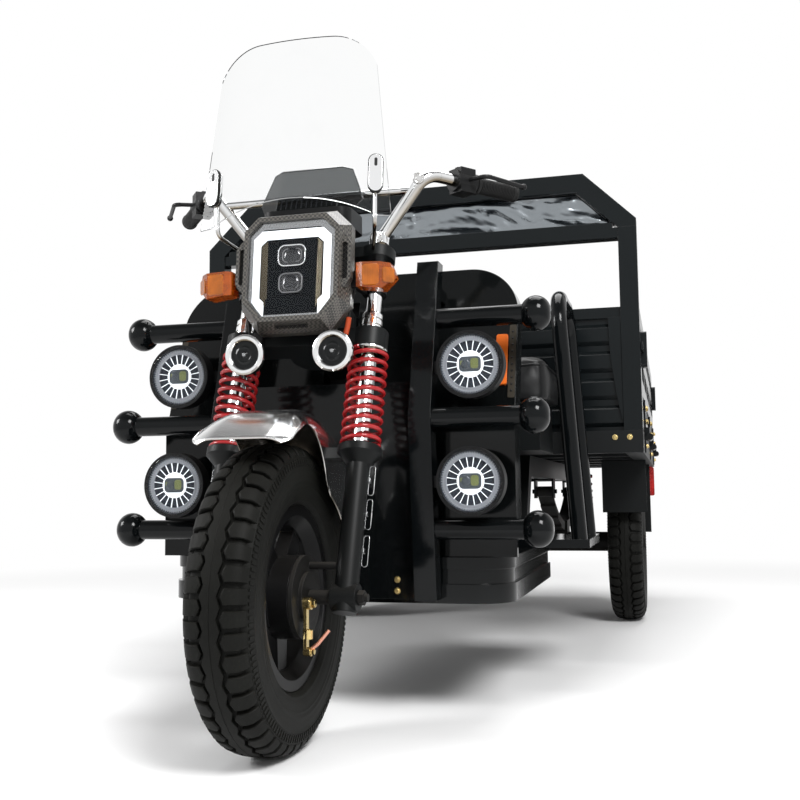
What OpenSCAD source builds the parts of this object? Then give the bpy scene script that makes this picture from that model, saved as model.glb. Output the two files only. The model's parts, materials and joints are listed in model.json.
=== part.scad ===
// Electric cargo tricycle: raked sprung fork, ball-ended bumper, bench seat, drop-sided bed with a rack.
// Every module is drawn with y = 0 at the front axle and y growing to the rear; vehicle() centres the whole.

/* [Wheels] */
// Outer diameter of the tyres
tyre_d = 556; // [540:2:566]
// Section width of the tyres
tyre_w = 118; // [108:2:124]
// Bead seat diameter of the rims
rim_d = 305; // [296:1:312]
// Width of the rims over their flanges
rim_w = 84; // [76:2:92]
// Spokes in each rim
spoke_count = 5; // [4:1:7]
// Diameter of the brake drums
drum_d = 150; // [130:2:170]
// Distance between the front and rear axles
wheelbase = 2080; // [2000:10:2160]
// Distance between the middles of the rear tyres
rear_track = 1090; // [1060:2:1100]

/* [Fork] */
// Lean of the fork from upright, in degrees
rake = 19; // [17:1:21]
// Distance of the steering axis behind the fork legs
fork_offset = 45; // [40:1:50]
// Distance from the middle to each fork leg
fork_half = 135; // [132:1:140]
// Diameter of the lower legs
leg_d = 44; // [40:1:48]
// Diameter of the fork tubes
fork_tube_d = 33; // [30:1:36]
// Height of the spring seats above the axle, along the fork
spring_seat_h = 286; // [270:2:300]
// Length of the fork springs
spring_len = 206; // [190:2:220]
// Outer diameter of the fork springs
spring_od = 80; // [72:1:84]
// Wire diameter of the fork springs
spring_wire_d = 8.5; // [7:0.5:10]
// Turns in each fork spring
spring_turns = 10; // [8:1:12]
// Thickness of the lower fork clamp
clamp_t = 34; // [28:1:40]
// Length of the head tube
head_tube_len = 160; // [140:2:180]
// Outer diameter of the head tube
head_tube_d = 60; // [54:1:66]
// Diameter of the steering stem
stem_d = 34; // [30:1:38]
// Diameter of the front axle
axle_d = 15; // [12:1:18]

/* [Handlebar] */
// Diameter of the handlebar tube
bar_d = 25; // [22:0.5:27]
// Outward reach of each riser
riser_out = 103; // [90:1:115]
// Height of each riser
riser_up = 143; // [120:1:160]
// Outward reach of each grip section
sweep_out = 150; // [130:1:170]
// Rearward reach of each grip section
sweep_back = 192; // [170:1:210]
// Bend radius of the handlebar
bar_bend = 45; // [38:1:55]
// Length of the grips
grip_len = 122; // [100:1:130]

/* [Headlamp and screen] */
// Width of the headlamp
headlamp_w = 226; // [216:2:232]
// Height of the headlamp
headlamp_h = 246; // [238:2:250]
// Height of the middle of the headlamp above the ground
headlamp_z = 904; // [896:1:908]
// Half width of the windscreen at its foot
screen_half = 200; // [185:1:210]
// Height of the windscreen
screen_h = 382; // [350:2:410]
// Thickness of the windscreen
screen_t = 4; // [3:0.5:5]

/* [Front body] */
// Half width of the leg shield
shield_half = 396; // [386:1:404]
// Height of the top of the leg shield above the ground
shield_top_z = 960; // [940:2:976]
// Thickness of the leg shield
shield_t = 16; // [10:1:20]
// Height of the floor above the ground
floor_z = 330; // [320:1:340]
// Half width of the floor
floor_half = 379; // [372:1:384]

/* [Bumper] */
// Half distance between the outer faces of the bumper posts
post_half = 240; // [234:1:246]
// Width of the square bumper posts
post_w = 46; // [40:1:50]
// Diameter of the bumper tubes
bumper_tube_d = 42; // [36:1:44]
// Distance from the middle to the ball of each bumper tube
ball_x = 447; // [430:1:460]
// Diameter of the balls
ball_d = 74; // [64:1:80]
// Diameter of the LED lamps
led_d = 138; // [126:1:144]

/* [Seat] */
// Half width of the seat cushion
seat_half = 420; // [400:2:424]
// Thickness of the seat cushion
seat_t = 100; // [80:2:110]
// Diameter of the side hoop tubes
hoop_d = 38; // [32:1:42]
// Height of the side hoops above the ground
hoop_z = 962; // [920:2:990]

/* [Bed] */
// Length of the cargo bed
bed_len = 1800; // [1740:10:1860]
// Half width of the cargo bed over its posts
bed_half = 636; // [630:1:644]
// Height of the bed floor above the ground
bed_z = 625; // [620:1:640]
// Height of the bed walls above the bed floor
wall_h = 340; // [300:5:360]
// Thickness of the gates
gate_t = 30; // [26:1:34]
// Width of the square bed posts and rack tubes
bed_post_w = 50; // [44:1:54]
// Height of the rack top above the ground
rack_z = 1344; // [1320:2:1370]
// Half width of the rack top
rack_top_half = 495; // [470:1:520]
// Drop of the slanted rack corners
rack_slant = 137; // [120:1:150]

/* [Hidden] */
$fn = 48;

// Clearances: running fits, fixed seats, swinging edges
run_gap = 0.1;
seat_gap = 0.2;
swing_gap = 5;
// Extra diameter of a tube where it is bent
elbow_swell = 0.6;

// Wheels
tyre_r = tyre_d / 2;
rim_r = rim_d / 2;
flange_h = 13;
flange_t = 5;
hub_half = 52;
hub_d = 100;
spindle_d = 30;
rear_x = rear_track / 2;
axle_end = rear_x - hub_half - 14;

// Bed and overall length
bed_front = 1050;
bed_rear = bed_front + bed_len;
lamp_proud = 30;
rear_end = bed_rear + lamp_proud;
overall_len = tyre_r + rear_end;
front_axle_y = tyre_r - overall_len / 2;
beam_h = 60;
beam_z = bed_z - beam_h;
floor_plate_t = 18;
// Raised deck sheet, inside the gates
deck_t = 2;
wall_top = bed_z + wall_h;
gate_z = bed_z + swing_gap;
post_in = bed_half - bed_post_w;
gate_y0 = bed_front + bed_post_w + swing_gap;
gate_y1 = bed_rear - bed_post_w - swing_gap;
tailgate_half = post_in - swing_gap;
hinge_out = 14;
hinge_z = bed_z - 10;
hinge_d = 20;
hinge_pin_d = 10;
hinge_w = 80;
knuckle_w = 29;

// Rack corners: outer points, and the same bars inside by one tube width
rack_corner_z = rack_z - rack_slant;
rack_run = bed_half - rack_top_half;
rack_len = norm([rack_run, rack_slant]);
rack_low = 1157;
rack_low_h = 43;
rack_in_z = rack_corner_z - bed_post_w * (rack_len - rack_slant) / rack_run;
rack_in_top = rack_top_half - bed_post_w * (rack_len - rack_run) / rack_slant;

// Frame
rail_x = floor_half - 79;
rail_w = 40;
rail_h = 60;
floor_t = 12;
rail_in = rail_x - rail_w / 2;
rail_low = floor_z - floor_t - rail_h;
rail_front = 340;
kick_y = 1000;
kick_run = 130;
rail_rear = bed_rear - 60;

// Fork, along its own axis from the axle
clamp_z = spring_seat_h + spring_len + 6;
head_z = clamp_z + clamp_t + 2;
upper_z = head_z + head_tube_len + 2;
upper_t = 24;
fork_top = upper_z + upper_t + 15;
clamp_r = 36;
lug_w = leg_d + 4;
spring_r = (spring_od - spring_wire_d) / 2;
spring_seat_d = spring_od + 4;
guard_half = 80;
guard_r = tyre_r + 48;
guard_low = guard_r - 66;
guard_flank = guard_r - 130;

// Front body
shield_y = 330;
shield_knee = 600;
shield_slope = 19;
front_box_y = 300;
front_box_z = 696;
apron_y = 320;
apron_low = 236;
apron_t = 12;

// Bumper: the post's middle line runs from its foot to its knee and on to its top
post_foot = [290, 245];
post_knee = [255, 614];
post_tip = [352, 955];
tube_levels = [389, 614, 828];
led_levels = [485, 720];
led_gap = 12;
led_x = post_half + led_d / 2 + led_gap;
led_depth = 60;
led_proud = 45;

// Seat and side hoops
box_front = 800;
box_top = 690;
seat_front = 740;
seat_rear = bed_front - 42;
hoop_front = 700;
hoop_rear = 980;
hoop_foot_x = 490;
hoop_top_x = 450;
step_t = 20;

// Rear suspension
axle_tube_d = 70;
// Drive motor: diameter, distance ahead of the axle, and the joint with the gearbox
motor_d = 172;
motor_back = 235;
motor_gap = motor_back - motor_d / 2 - 1;
leaf_w = 50;
leaf_t = 8;
// Each leaf is pressed into the one above, and is a little narrower
leaf_lap = 0.4;
leaf_half = 455;
leaf_rise = 115;
leaf_tips = [28.4, 23, 17, 11];
spring_pad_z = tyre_r + axle_tube_d / 2 + 6;
leaf_z = spring_pad_z + (len(leaf_tips) - 0.5) * leaf_t + 1;
leaf_r = (leaf_half * leaf_half + leaf_rise * leaf_rise) / (2 * leaf_rise);
eye_d = 34;
eye_pin_d = 14;
hanger_t = 6;

// Headlamp
headlamp_y = 78;
headlamp_tilt = 6;
bezel_t = 58;
lens_w = headlamp_w - 46;
lens_h = headlamp_h - 50;
lens_t = 12;
vent_y = 12;
arm_y = headlamp_y + 34;
signal_x = 130;
signal_len = 76;
signal_y = 84;
signal_t = 44;
signal_z = 880;
arm_t = 11;
pod_z = headlamp_z + 100;
pod_y = 156;
pod_h = 38;

// Windscreen, on a cylinder that leans back
screen_z = 1000;
screen_y = 62;
screen_lean = 7;
screen_r = 600;
clamp_x = 170;

// Front view of the shield at a height
function shield_front(z) = shield_y + max(0, z - shield_knee) * tan(shield_slope);

// Middle of the bumper posts at a height
function post_y(z) = z < post_knee[1]
    ? post_foot[0] + (z - post_foot[1]) * (post_knee[0] - post_foot[0]) / (post_knee[1] - post_foot[1])
    : post_knee[0] + (z - post_knee[1]) * (post_tip[0] - post_knee[0]) / (post_tip[1] - post_knee[1]);

module vehicle() translate([0, front_axle_y, 0]) children();

module both_sides() {
    children();
    mirror([1, 0, 0]) children();
}

// A drawing in (y, z), drawn out along x
module along_x(x0, w) translate([x0, 0, 0]) rotate([90, 0, 90]) linear_extrude(w) children();

// A drawing in (x, z), drawn out along y
module along_y(y0, d) translate([0, y0 + d, 0]) rotate([90, 0, 0]) linear_extrude(d) children();

// A box given by its low and high corners
module span(a, b) translate(a) cube(b - a);

// A rod across the vehicle
module rod_x(x0, x1, d) translate([x0, 0, 0]) rotate([0, 90, 0]) cylinder(d = d, h = x1 - x0);

// The fork's own frame: origin at the axle, z up along the legs
module fork_frame() translate([0, 0, tyre_r]) rotate([-rake, 0, 0]) children();

// A frame with its z axis from one point towards another
module toward(p, q) {
    d = q - p;
    translate(p) rotate([0, acos(d[2] / norm(d)), atan2(d[1], d[0])]) children();
}

function unit(v) = v / norm(v);

// A bent tube through a list of points; each straight runs a little way into the slightly fuller elbows
module pipe(pts, d, bend) {
    n = len(pts);
    lap = 1.5;
    dirs = [for (i = [0:n - 2]) unit(pts[i + 1] - pts[i])];
    turn = [for (i = [1:n - 2]) acos(dirs[i - 1] * dirs[i])];
    cut = [for (i = [0:n - 1]) i == 0 || i == n - 1 ? 0 : bend * tan(turn[i - 1] / 2)];
    for (i = [0:n - 2]) {
        a = pts[i] + dirs[i] * max(0, cut[i] - lap);
        b = pts[i + 1] - dirs[i] * max(0, cut[i + 1] - lap);
        toward(a, b) cylinder(d = d, h = norm(b - a));
    }
    for (i = [1:n - 2]) {
        u = dirs[i - 1];
        v = dirs[i];
        inward = unit(v - (u * v) * u);
        o = pts[i] - u * cut[i] + inward * bend;
        w = cross(-inward, u);
        multmatrix([[-inward[0], u[0], w[0], o[0]], [-inward[1], u[1], w[1], o[1]],
                [-inward[2], u[2], w[2], o[2]], [0, 0, 0, 1]])
            rotate_extrude(angle = turn[i - 1]) translate([bend, 0]) circle(d = d + elbow_swell);
    }
}

// A rectangle with round corners, from its low to its high corner
module round_rect(a, b, r) {
    translate([a[0] + r, a[1]]) square([b[0] - a[0] - 2 * r, b[1] - a[1]]);
    translate([a[0], a[1] + r]) square([b[0] - a[0], b[1] - a[1] - 2 * r]);
    for (x = [a[0] + r, b[0] - r], y = [a[1] + r, b[1] - r]) translate([x, y]) circle(r);
}

// Frame

module frame_rails() {
    top = beam_z - rail_h;
    color("#1b1b1d") for (x = [-rail_x, rail_x]) along_x(x - rail_w / 2, rail_w)
        polygon([[rail_front, rail_low], [kick_y + 22, rail_low], [kick_y + kick_run + 22, top],
            [rail_rear, top], [rail_rear, beam_z], [kick_y + kick_run, beam_z],
            [kick_y, rail_low + rail_h], [rail_front, rail_low + rail_h]]);
}

module spring_hanger(y) {
    out = leaf_w / 2 + 1;
    top = beam_z - rail_h;
    z = leaf_z + leaf_rise;
    for (s = [-1, 1]) span([rail_x + s * (out + hanger_t / 2) - hanger_t / 2, y - 26, z - 22],
        [rail_x + s * (out + hanger_t / 2) + hanger_t / 2, y + 26, top]);
    span([rail_x - out, y - 26, top - hanger_t], [rail_x + out, y + 26, top]);
    translate([0, y, z]) rod_x(rail_x - out - hanger_t - 8, rail_x + out + hanger_t + 8, eye_pin_d);
}

module frame_members() color("#1b1b1d") {
    low_rows = [rail_front, 620];
    high_rows = [1260, 1560, bed_rear - 320];
    for (y = low_rows) span([-rail_in, y, rail_low], [rail_in, y + rail_w, rail_low + rail_h]);
    for (y = high_rows) span([-rail_in, y, beam_z - rail_h], [rail_in, y + rail_w, beam_z]);
    both_sides() for (s = [-1, 1]) spring_hanger(wheelbase + s * leaf_half);
}

module head_frame() color("#1b1b1d") {
    neck_half = 28;
    difference() {
        union() {
            fork_frame() {
                translate([0, fork_offset, head_z]) cylinder(d = head_tube_d, h = head_tube_len);
                span([-neck_half, fork_offset, head_z + 14],
                    [neck_half, fork_offset + 195, upper_z - 8]);
            }
            span([-30, 405, floor_z], [30, 455, 860]);
        }
        fork_frame() translate([0, fork_offset, head_z - 1])
            cylinder(d = stem_d + 2 * run_gap, h = head_tube_len + 2);
    }
}

// Front body

module shield_profile(back) polygon([[shield_y, floor_z], [shield_y, shield_knee],
    [shield_front(shield_top_z), shield_top_z], [shield_front(shield_top_z) + back, shield_top_z],
    [shield_y + back, shield_knee], [shield_y + back, floor_z]]);

module shield_outline(half) {
    r = 110;
    translate([-half, floor_z]) square([2 * half, shield_top_z - r - floor_z]);
    translate([-half + r, floor_z]) square([2 * (half - r), shield_top_z - floor_z]);
    for (s = [-1, 1]) translate([s * (half - r), shield_top_z - r]) circle(r);
}

module leg_shield() color("#101012") {
    window_half = 34;
    rim = 70;
    box_half = post_half - post_w - 1;
    difference() {
        union() {
            intersection() {
                along_x(-shield_half, 2 * shield_half) shield_profile(shield_t);
                along_y(shield_y - 1, 400) shield_outline(shield_half);
            }
            intersection() {
                along_x(-shield_half, 2 * shield_half) shield_profile(rim);
                along_y(shield_y - 1, 400) difference() {
                    shield_outline(shield_half);
                    shield_outline(shield_half - shield_t);
                    translate([-shield_half, 0]) square([2 * shield_half, floor_z + 60]);
                    translate([-shield_half, shield_top_z - shield_t * 2]) square([2 * shield_half, 200]);
                }
            }
        }
        span([-window_half, shield_y - 1, 700], [window_half, shield_y + 300, 895]);
    }
    along_x(-box_half, 2 * box_half) polygon([[front_box_y, floor_z + 4], [front_box_y, front_box_z],
        [shield_front(front_box_z) + 4, front_box_z], [shield_y + 4, shield_knee], [shield_y + 4, floor_z + 4]]);
    span([-box_half, front_box_y, post_foot[1]], [box_half, front_box_y + 10, floor_z + 5]);
}

module dash_panel() color("#1a1a1c") {
    front = 455;
    deep = 55;
    difference() {
        along_y(front, deep) round_rect([-210, floor_z], [210, 900], 30);
        for (s = [-1, 1]) translate([s * 115, 0, 0])
            along_y(front + 12, deep) round_rect([-75, 640], [75, 790], 18);
    }
}

// The apron's outline from above, open to the rear
module apron_plan(out) {
    r = 80;
    difference() {
        round_rect([-floor_half - out, apron_y - out], [floor_half + out, kick_y + r], r);
        round_rect([-floor_half + apron_t, apron_y + apron_t],
            [floor_half - apron_t, kick_y + r], r - apron_t);
        translate([-2 * floor_half, kick_y]) square([4 * floor_half, 2 * r]);
    }
}

module floor_pan() color("#141416") {
    // Each band of the apron: how far it stands out, its low and its high edge
    bands = [[6, apron_low, 275], [0, 275, 305], [4, 305, floor_z]];
    rib = [18, 4];
    for (b = bands) translate([0, 0, b[1]]) linear_extrude(b[2] - b[1]) apron_plan(b[0]);
    span([-floor_half + 1, shield_y + 40, floor_z - floor_t], [floor_half - 1, kick_y, floor_z]);
    span([-floor_half + 60, apron_y + 1, floor_z - floor_t], [floor_half - 60, shield_y + 41, floor_z]);
    for (x = [-160:40:160]) if (abs(x) > 40)
        span([x - rib[0] / 2, 530, floor_z - 1], [x + rib[0] / 2, box_front - 20, floor_z + rib[1]]);
}

// Bumper and lamps

module bumper_posts() color("#0d0d0f") both_sides() {
    h = post_w / 2;
    stay_z = 892;
    along_x(post_half - post_w, post_w) polygon([for (p = [post_foot, post_knee, post_tip])
        [p[0] - h, p[1]], for (p = [post_tip, post_knee, post_foot]) [p[0] + h, p[1]]]);
    along_x(post_half - post_w + 6, post_w - 12) polygon([[post_y(stay_z), stay_z - 14],
        [shield_front(stay_z - 14), stay_z - 14], [shield_front(stay_z + 14), stay_z + 14],
        [post_y(stay_z), stay_z + 14]]);
    span([post_half - post_w + 6, post_foot[0], 250], [post_half - 6, apron_y - 6, 272]);
}

module bumper_tubes() color("#0d0d0f") both_sides() for (z = tube_levels)
    translate([0, post_y(z), z]) {
        flat = 6;
        rod_x(post_half, ball_x, bumper_tube_d);
        translate([ball_x, 0, 0]) rotate([0, 90, 0]) rotate_extrude() intersection() {
            union() {
                translate([flat, 0]) circle(ball_d / 2 - flat);
                translate([0, flat - ball_d / 2]) square([flat, ball_d - 2 * flat]);
            }
            translate([0, -ball_d]) square(2 * ball_d);
        }
    }

module led_place() both_sides() for (z = led_levels)
    translate([led_x, post_y(z) - led_proud, z]) rotate([-90, 0, 0]) children();

module led_bodies() color("#161618") difference() {
    union() {
        led_place() {
            cylinder(d = led_d, h = 34);
            translate([0, 0, 34]) cylinder(d1 = led_d, d2 = led_d * 0.6, h = led_depth - 34);
            translate([0, 0, led_depth - 1]) cylinder(d = 44, h = 120);
        }
        both_sides() for (z = led_levels) translate([0, post_y(z), z])
            span([post_half, -10, -12], [led_x, 10, 12]);
    }
    along_x(-shield_half, 2 * shield_half) shield_profile(400);
    led_place() translate([0, 0, -1]) cylinder(d = led_d - 16, h = 11);
}

module led_lenses() color("#e8ecef", 0.6) led_place() translate([0, 0, -2])
    cylinder(d = led_d - 16 - 2 * seat_gap, h = 12);

module side_reflectors() color("#f26a12") {
    wide = 25;
    tall = 118;
    both_sides() translate([shield_half - 44, shield_y, shield_knee]) rotate([-shield_slope, 0, 0])
        along_y(-6, 6) round_rect([0, 92], [wide, 92 + tall], 5);
}

// Seat

module battery_box() color("#17171a") {
    rear = bed_front - 12;
    half = rail_in - swing_gap;
    difference() {
        union() {
            span([-half, box_front, floor_z], [half, rear, beam_z]);
            span([-seat_half + 25, seat_front + 20, beam_z], [seat_half - 25, rear, box_top]);
        }
        for (z = [floor_z + 60:26:beam_z - 40])
            span([-half + 60, box_front - 1, z], [half - 60, box_front + 8, z + 12]);
    }
}

module seat_cushion() color("#1c1c1e") translate([0, 0, box_top]) linear_extrude(seat_t)
    round_rect([-seat_half, seat_front], [seat_half, seat_rear], 40);

module seat_backrest() color("#1c1c1e") along_y(bed_front + 10 - 46, 46)
    round_rect([-290, wall_top - 130], [290, wall_top + 40], 40);

module side_hoops() color("#0d0d0f") both_sides() {
    step_z = floor_z + step_t;
    top = hoop_z - hoop_d / 2;
    pipe([[hoop_foot_x, hoop_front, step_z - 2], [hoop_top_x, hoop_front, top],
        [hoop_top_x, hoop_rear, top], [hoop_foot_x, hoop_rear, step_z - 2]], hoop_d, 85);
    span([floor_half - 40, hoop_front - 28, floor_z], [hoop_foot_x + 26, hoop_rear + 20, step_z]);
}

// Bed

module bed_floor() color("#202124") {
    rows = 5;
    step = (bed_len - 2 * bed_post_w) / (rows + 1);
    both_sides() span([post_in, bed_front, beam_z], [bed_half, bed_rear, bed_z]);
    for (y = [bed_front, bed_rear - bed_post_w])
        span([-post_in, y, beam_z], [post_in, y + bed_post_w, bed_z]);
    for (i = [1:rows]) span([-post_in, bed_front + bed_post_w / 2 + i * step, beam_z],
        [post_in, bed_front + bed_post_w * 1.5 + i * step, bed_z - 1]);
    span([-post_in, bed_front + bed_post_w - 1, bed_z - floor_plate_t],
        [post_in, bed_rear - bed_post_w + 1, bed_z]);
    deck_half = bed_half - gate_t - swing_gap - 1;
    span([-deck_half, gate_y0, bed_z - 1], [deck_half, gate_y1, bed_z + deck_t]);
}

module bed_front_wall() color("#131316") {
    rib_count = 4;
    pitch = (wall_h - 40) / rib_count;
    span([-post_in, bed_front + 20, bed_z], [post_in, bed_front + 40, wall_top - 30]);
    span([-post_in, bed_front + 10, wall_top - 30], [post_in, bed_front + bed_post_w, wall_top]);
    gusset = 34;
    gusset_r = 1312;
    both_sides() along_y(bed_front + 3, 18) intersection() {
        translate([post_in - gusset, bed_z + 30]) square([gusset, wall_h - 59]);
        translate([post_in - gusset + gusset_r, wall_top - 30]) circle(gusset_r, $fn = 96);
    }
    for (i = [0:rib_count - 1]) span([-post_in, bed_front + 10, bed_z + pitch * (i + 0.3)],
        [post_in, bed_front + 21, bed_z + pitch * (i + 0.78)]);
}

module bed_posts() color("#0f0f11") both_sides() {
    span([post_in, bed_front, bed_z], [bed_half, bed_front + bed_post_w, rack_in_z]);
    span([post_in, bed_rear - bed_post_w, bed_z], [bed_half, bed_rear, wall_top]);
}

module rack_bars() color("#0f0f11") {
    outer = [[bed_half, rack_in_z], [bed_half, rack_corner_z], [rack_top_half, rack_z]];
    inner = [[rack_in_top, rack_z - bed_post_w], [post_in, rack_in_z]];
    half = concat(outer, [[0, rack_z], [0, rack_z - bed_post_w]], inner);
    along_y(bed_front, bed_post_w) {
        polygon(half);
        mirror([1, 0]) polygon(half);
    }
    span([-post_in, bed_front + 3, rack_low], [post_in, bed_front + bed_post_w - 3, rack_in_z - 0.5]);
    span([-rack_low_in(), bed_front + 3, rack_in_z - 1],
        [rack_low_in(), bed_front + bed_post_w - 3, rack_low + rack_low_h]);
}

// Half width inside the slanted bars at the top of the lower bar
function rack_slant_x(z) = post_in - (z - rack_in_z) * rack_run / rack_slant;
function rack_low_in() = rack_slant_x(rack_low + rack_low_h) - seat_gap;

module rack_sheet() color("#0b0b0d") {
    low = rack_low + rack_low_h + seat_gap;
    high = rack_z - bed_post_w - seat_gap;
    along_y(bed_front + bed_post_w / 2, 4) polygon([for (s = [-1, 1], z = s < 0 ? [low, high] : [high, low])
        [s * (rack_slant_x(z) - 2 * seat_gap), z]]);
}

// The hinge's frame: origin on the pin, pin along y, x outwards, z up
module hinge_fixed() {
    half = knuckle_w / 2 + 0.5;
    rotate([90, 0, 0]) translate([0, 0, -hinge_w / 2]) cylinder(d = hinge_pin_d, h = hinge_w);
    for (s = [-1, 1]) {
        y = s * (half + hinge_w / 2) / 2;
        w = hinge_w / 2 - half;
        translate([0, y + w / 2, 0]) rotate([90, 0, 0]) cylinder(d = hinge_d, h = w);
        span([-hinge_out, y - w / 2, -hinge_d / 2], [0, y + w / 2, 0]);
    }
    span([-hinge_out, -hinge_w / 2, -45], [-hinge_out + 4, hinge_w / 2, -hinge_d / 2 + 1]);
}

module hinge_moving() {
    w = knuckle_w;
    difference() {
        union() {
            translate([0, w / 2, 0]) rotate([90, 0, 0]) cylinder(d = hinge_d, h = w);
            span([-hinge_out, -w / 2, 0], [0, w / 2, 28]);
            span([-hinge_out, -hinge_w / 2, 27], [-hinge_out + 5, hinge_w / 2, 105]);
        }
        translate([0, w, 0]) rotate([90, 0, 0]) cylinder(d = hinge_pin_d + 2 * run_gap, h = 2 * w);
    }
}

side_hinge_count = 3;
side_hinge_step = (gate_y1 - gate_y0 - 300) / (side_hinge_count - 1);
tail_hinge_x = 380;

module side_hinge_places() for (i = [0:side_hinge_count - 1])
    translate([bed_half + hinge_out, gate_y0 + 150 + i * side_hinge_step, hinge_z]) children();

module tail_hinge_places() for (x = [-tail_hinge_x, tail_hinge_x])
    translate([x, bed_rear + hinge_out, hinge_z]) rotate([0, 0, 90]) children();

module bed_hinges() color("#2a2a2d") {
    both_sides() side_hinge_places() hinge_fixed();
    tail_hinge_places() hinge_fixed();
}

// A ribbed gate in its own frame: x along the gate from its middle, y outwards from its outer face
module gate_panel(half, bays) {
    frame = 44;
    deep = 10;
    rows = 3;
    bay_w = (2 * half - frame) / bays;
    row_h = (wall_top - gate_z - frame) / rows;
    difference() {
        span([-half, -gate_t, gate_z], [half, 0, wall_top]);
        for (i = [0:bays - 1], j = [0:rows - 1])
            span([-half + frame + i * bay_w, -deep, gate_z + frame + j * row_h],
                [-half + (i + 1) * bay_w, 1, gate_z + (j + 1) * row_h]);
    }
}

// A toggle latch: body on the gate and a strap across the post beyond the gate's end at x = 0
module gate_latch() {
    z = wall_top - 110;
    along_y(0, 16) round_rect([-75, z - 50], [-25, z + 50], 10);
    span([-40, 1, z - 11], [bed_post_w - 4, 7, z + 11]);
}

module left_gate() color("#131316") {
    mid = (gate_y0 + gate_y1) / 2;
    half = (gate_y1 - gate_y0) / 2;
    side_hinge_places() hinge_moving();
    translate([bed_half, mid, 0]) rotate([0, 0, -90]) {
        gate_panel(half, 6);
        for (s = [0, 1]) mirror([s, 0, 0]) translate([half, 0, 0]) gate_latch();
    }
}

module right_gate() mirror([1, 0, 0]) left_gate();

module tailgate() color("#131316") {
    tail_hinge_places() hinge_moving();
    translate([0, bed_rear, 0]) {
        gate_panel(tailgate_half, 4);
        for (s = [0, 1]) mirror([s, 0, 0]) translate([tailgate_half, 0, 0]) gate_latch();
    }
}

module tail_lamps() color("#a3161a") both_sides()
    along_y(bed_rear - 8, lamp_proud + 8) round_rect([post_in + 4, beam_z - 125], [bed_half - 2, beam_z], 8);

// Rear axle and suspension

module rear_axle() color("#232326") translate([0, wheelbase, 0]) {
    end = axle_end;
    translate([0, 0, tyre_r]) {
        rod_x(-end, end, axle_tube_d);
        rod_x(-rear_x - hub_half - 10, rear_x + hub_half + 10, spindle_d);
        both_sides() {
            rod_x(end - 1, end + 11, drum_d + 24);
            translate([rear_x + hub_half + 1, 0, 0]) rotate([0, 90, 0]) cylinder(d = 46, h = 10, $fn = 6);
        }
        rotate([0, 90, 0]) rotate_extrude() intersection() {
            circle(105);
            translate([0, -80]) square([105, 160]);
        }
        span([-45, -motor_gap, -55], [45, 0, 55]);
    }
    both_sides() span([rail_x - leaf_w / 2 - 6, -50, tyre_r], [rail_x + leaf_w / 2 + 6, 50, spring_pad_z]);
}

module drive_motor() color("#3a3b3f") translate([0, wheelbase - motor_back, tyre_r]) {
    span([-45, 0, -55], [45, motor_back - motor_gap, 55]);
    difference() {
        rod_x(-60, 175, motor_d);
        for (x = [-20:24:140]) translate([x, 0, 0]) difference() {
            rod_x(0, 10, motor_d + 20);
            rod_x(-1, 11, motor_d - 12);
        }
    }
    rod_x(175, 190, 110);
}

module leaf_springs() color("#26262a") both_sides() translate([0, wheelbase, 0]) difference() {
    union() {
        translate([rail_x, 0, leaf_z + leaf_r]) rotate([0, 90, 0]) for (i = [0:len(leaf_tips) - 1])
            rotate([0, 0, -leaf_tips[i]]) rotate_extrude(angle = 2 * leaf_tips[i])
                translate([leaf_r + (i - 0.5) * leaf_t - leaf_lap, i * leaf_lap - leaf_w / 2])
                    square([leaf_t + leaf_lap, leaf_w - 2 * i * leaf_lap]);
        for (s = [-1, 1]) translate([0, s * leaf_half, leaf_z + leaf_rise])
            rod_x(rail_x - leaf_w / 2 - leaf_lap, rail_x + leaf_w / 2 + leaf_lap, eye_d);
        span([rail_x - leaf_w / 2 - 6, -45, spring_pad_z], [rail_x + leaf_w / 2 + 6, 45, leaf_z + leaf_t]);
    }
    for (s = [-1, 1]) translate([0, s * leaf_half, leaf_z + leaf_rise])
        rod_x(rail_x - leaf_w, rail_x + leaf_w, eye_pin_d + 2 * seat_gap);
}

module rear_shocks() color("#b3201c") both_sides() {
    x = (rail_x + leaf_w / 2 + axle_end) / 2;
    low = [x, wheelbase - 60, tyre_r + 10];
    high = [x, wheelbase - 110, beam_z - 14];
    run = norm(high - low);
    coils = 7;
    toward(low, high) {
        cylinder(d = 40, h = run);
        for (i = [0:coils - 1]) translate([0, 0, 55 + i * (run - 95) / coils])
            rotate_extrude() translate([23, 0]) circle(d = 10);
        translate([0, 0, 40]) cylinder(d = 58, h = 8);
        translate([0, 0, run - 40]) cylinder(d = 58, h = 8);
    }
    translate([0, high[1], high[2]]) rod_x(x - 16, x + 16, 28);
    span([x - 16, high[1] - 14, high[2]], [x + 16, high[1] + 14, beam_z]);
    difference() {
        span([x - 16, wheelbase - 70, tyre_r - 6], [x + 16, wheelbase, tyre_r + 12]);
        translate([0, wheelbase, tyre_r]) rod_x(x - 20, x + 20, axle_tube_d + 2 * seat_gap);
    }
}

module rear_mudguards() color("#121214") both_sides() {
    t = 5;
    gap = 32;
    inner = rear_x - tyre_w / 2 - 8;
    outer = bed_half - 12;
    // Each plate: its front face and its lower edge
    plates = [[wheelbase - tyre_r - gap - t, 390], [wheelbase + tyre_r + gap, 300]];
    for (p = plates) span([inner, p[0], p[1]], [outer, p[0] + t, beam_z]);
}

// Fork

module clamp_plan() {
    for (s = [-1, 1]) translate([s * fork_half, 0]) circle(clamp_r);
    translate([-fork_half, -28]) square([2 * fork_half, 56]);
    translate([0, fork_offset]) circle(42);
    translate([-42, 0]) square([84, fork_offset]);
}

module clamp_bores() for (s = [-1, 1]) translate([s * fork_half, 0, -50])
    cylinder(d = fork_tube_d + 2 * run_gap, h = 200);

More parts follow.
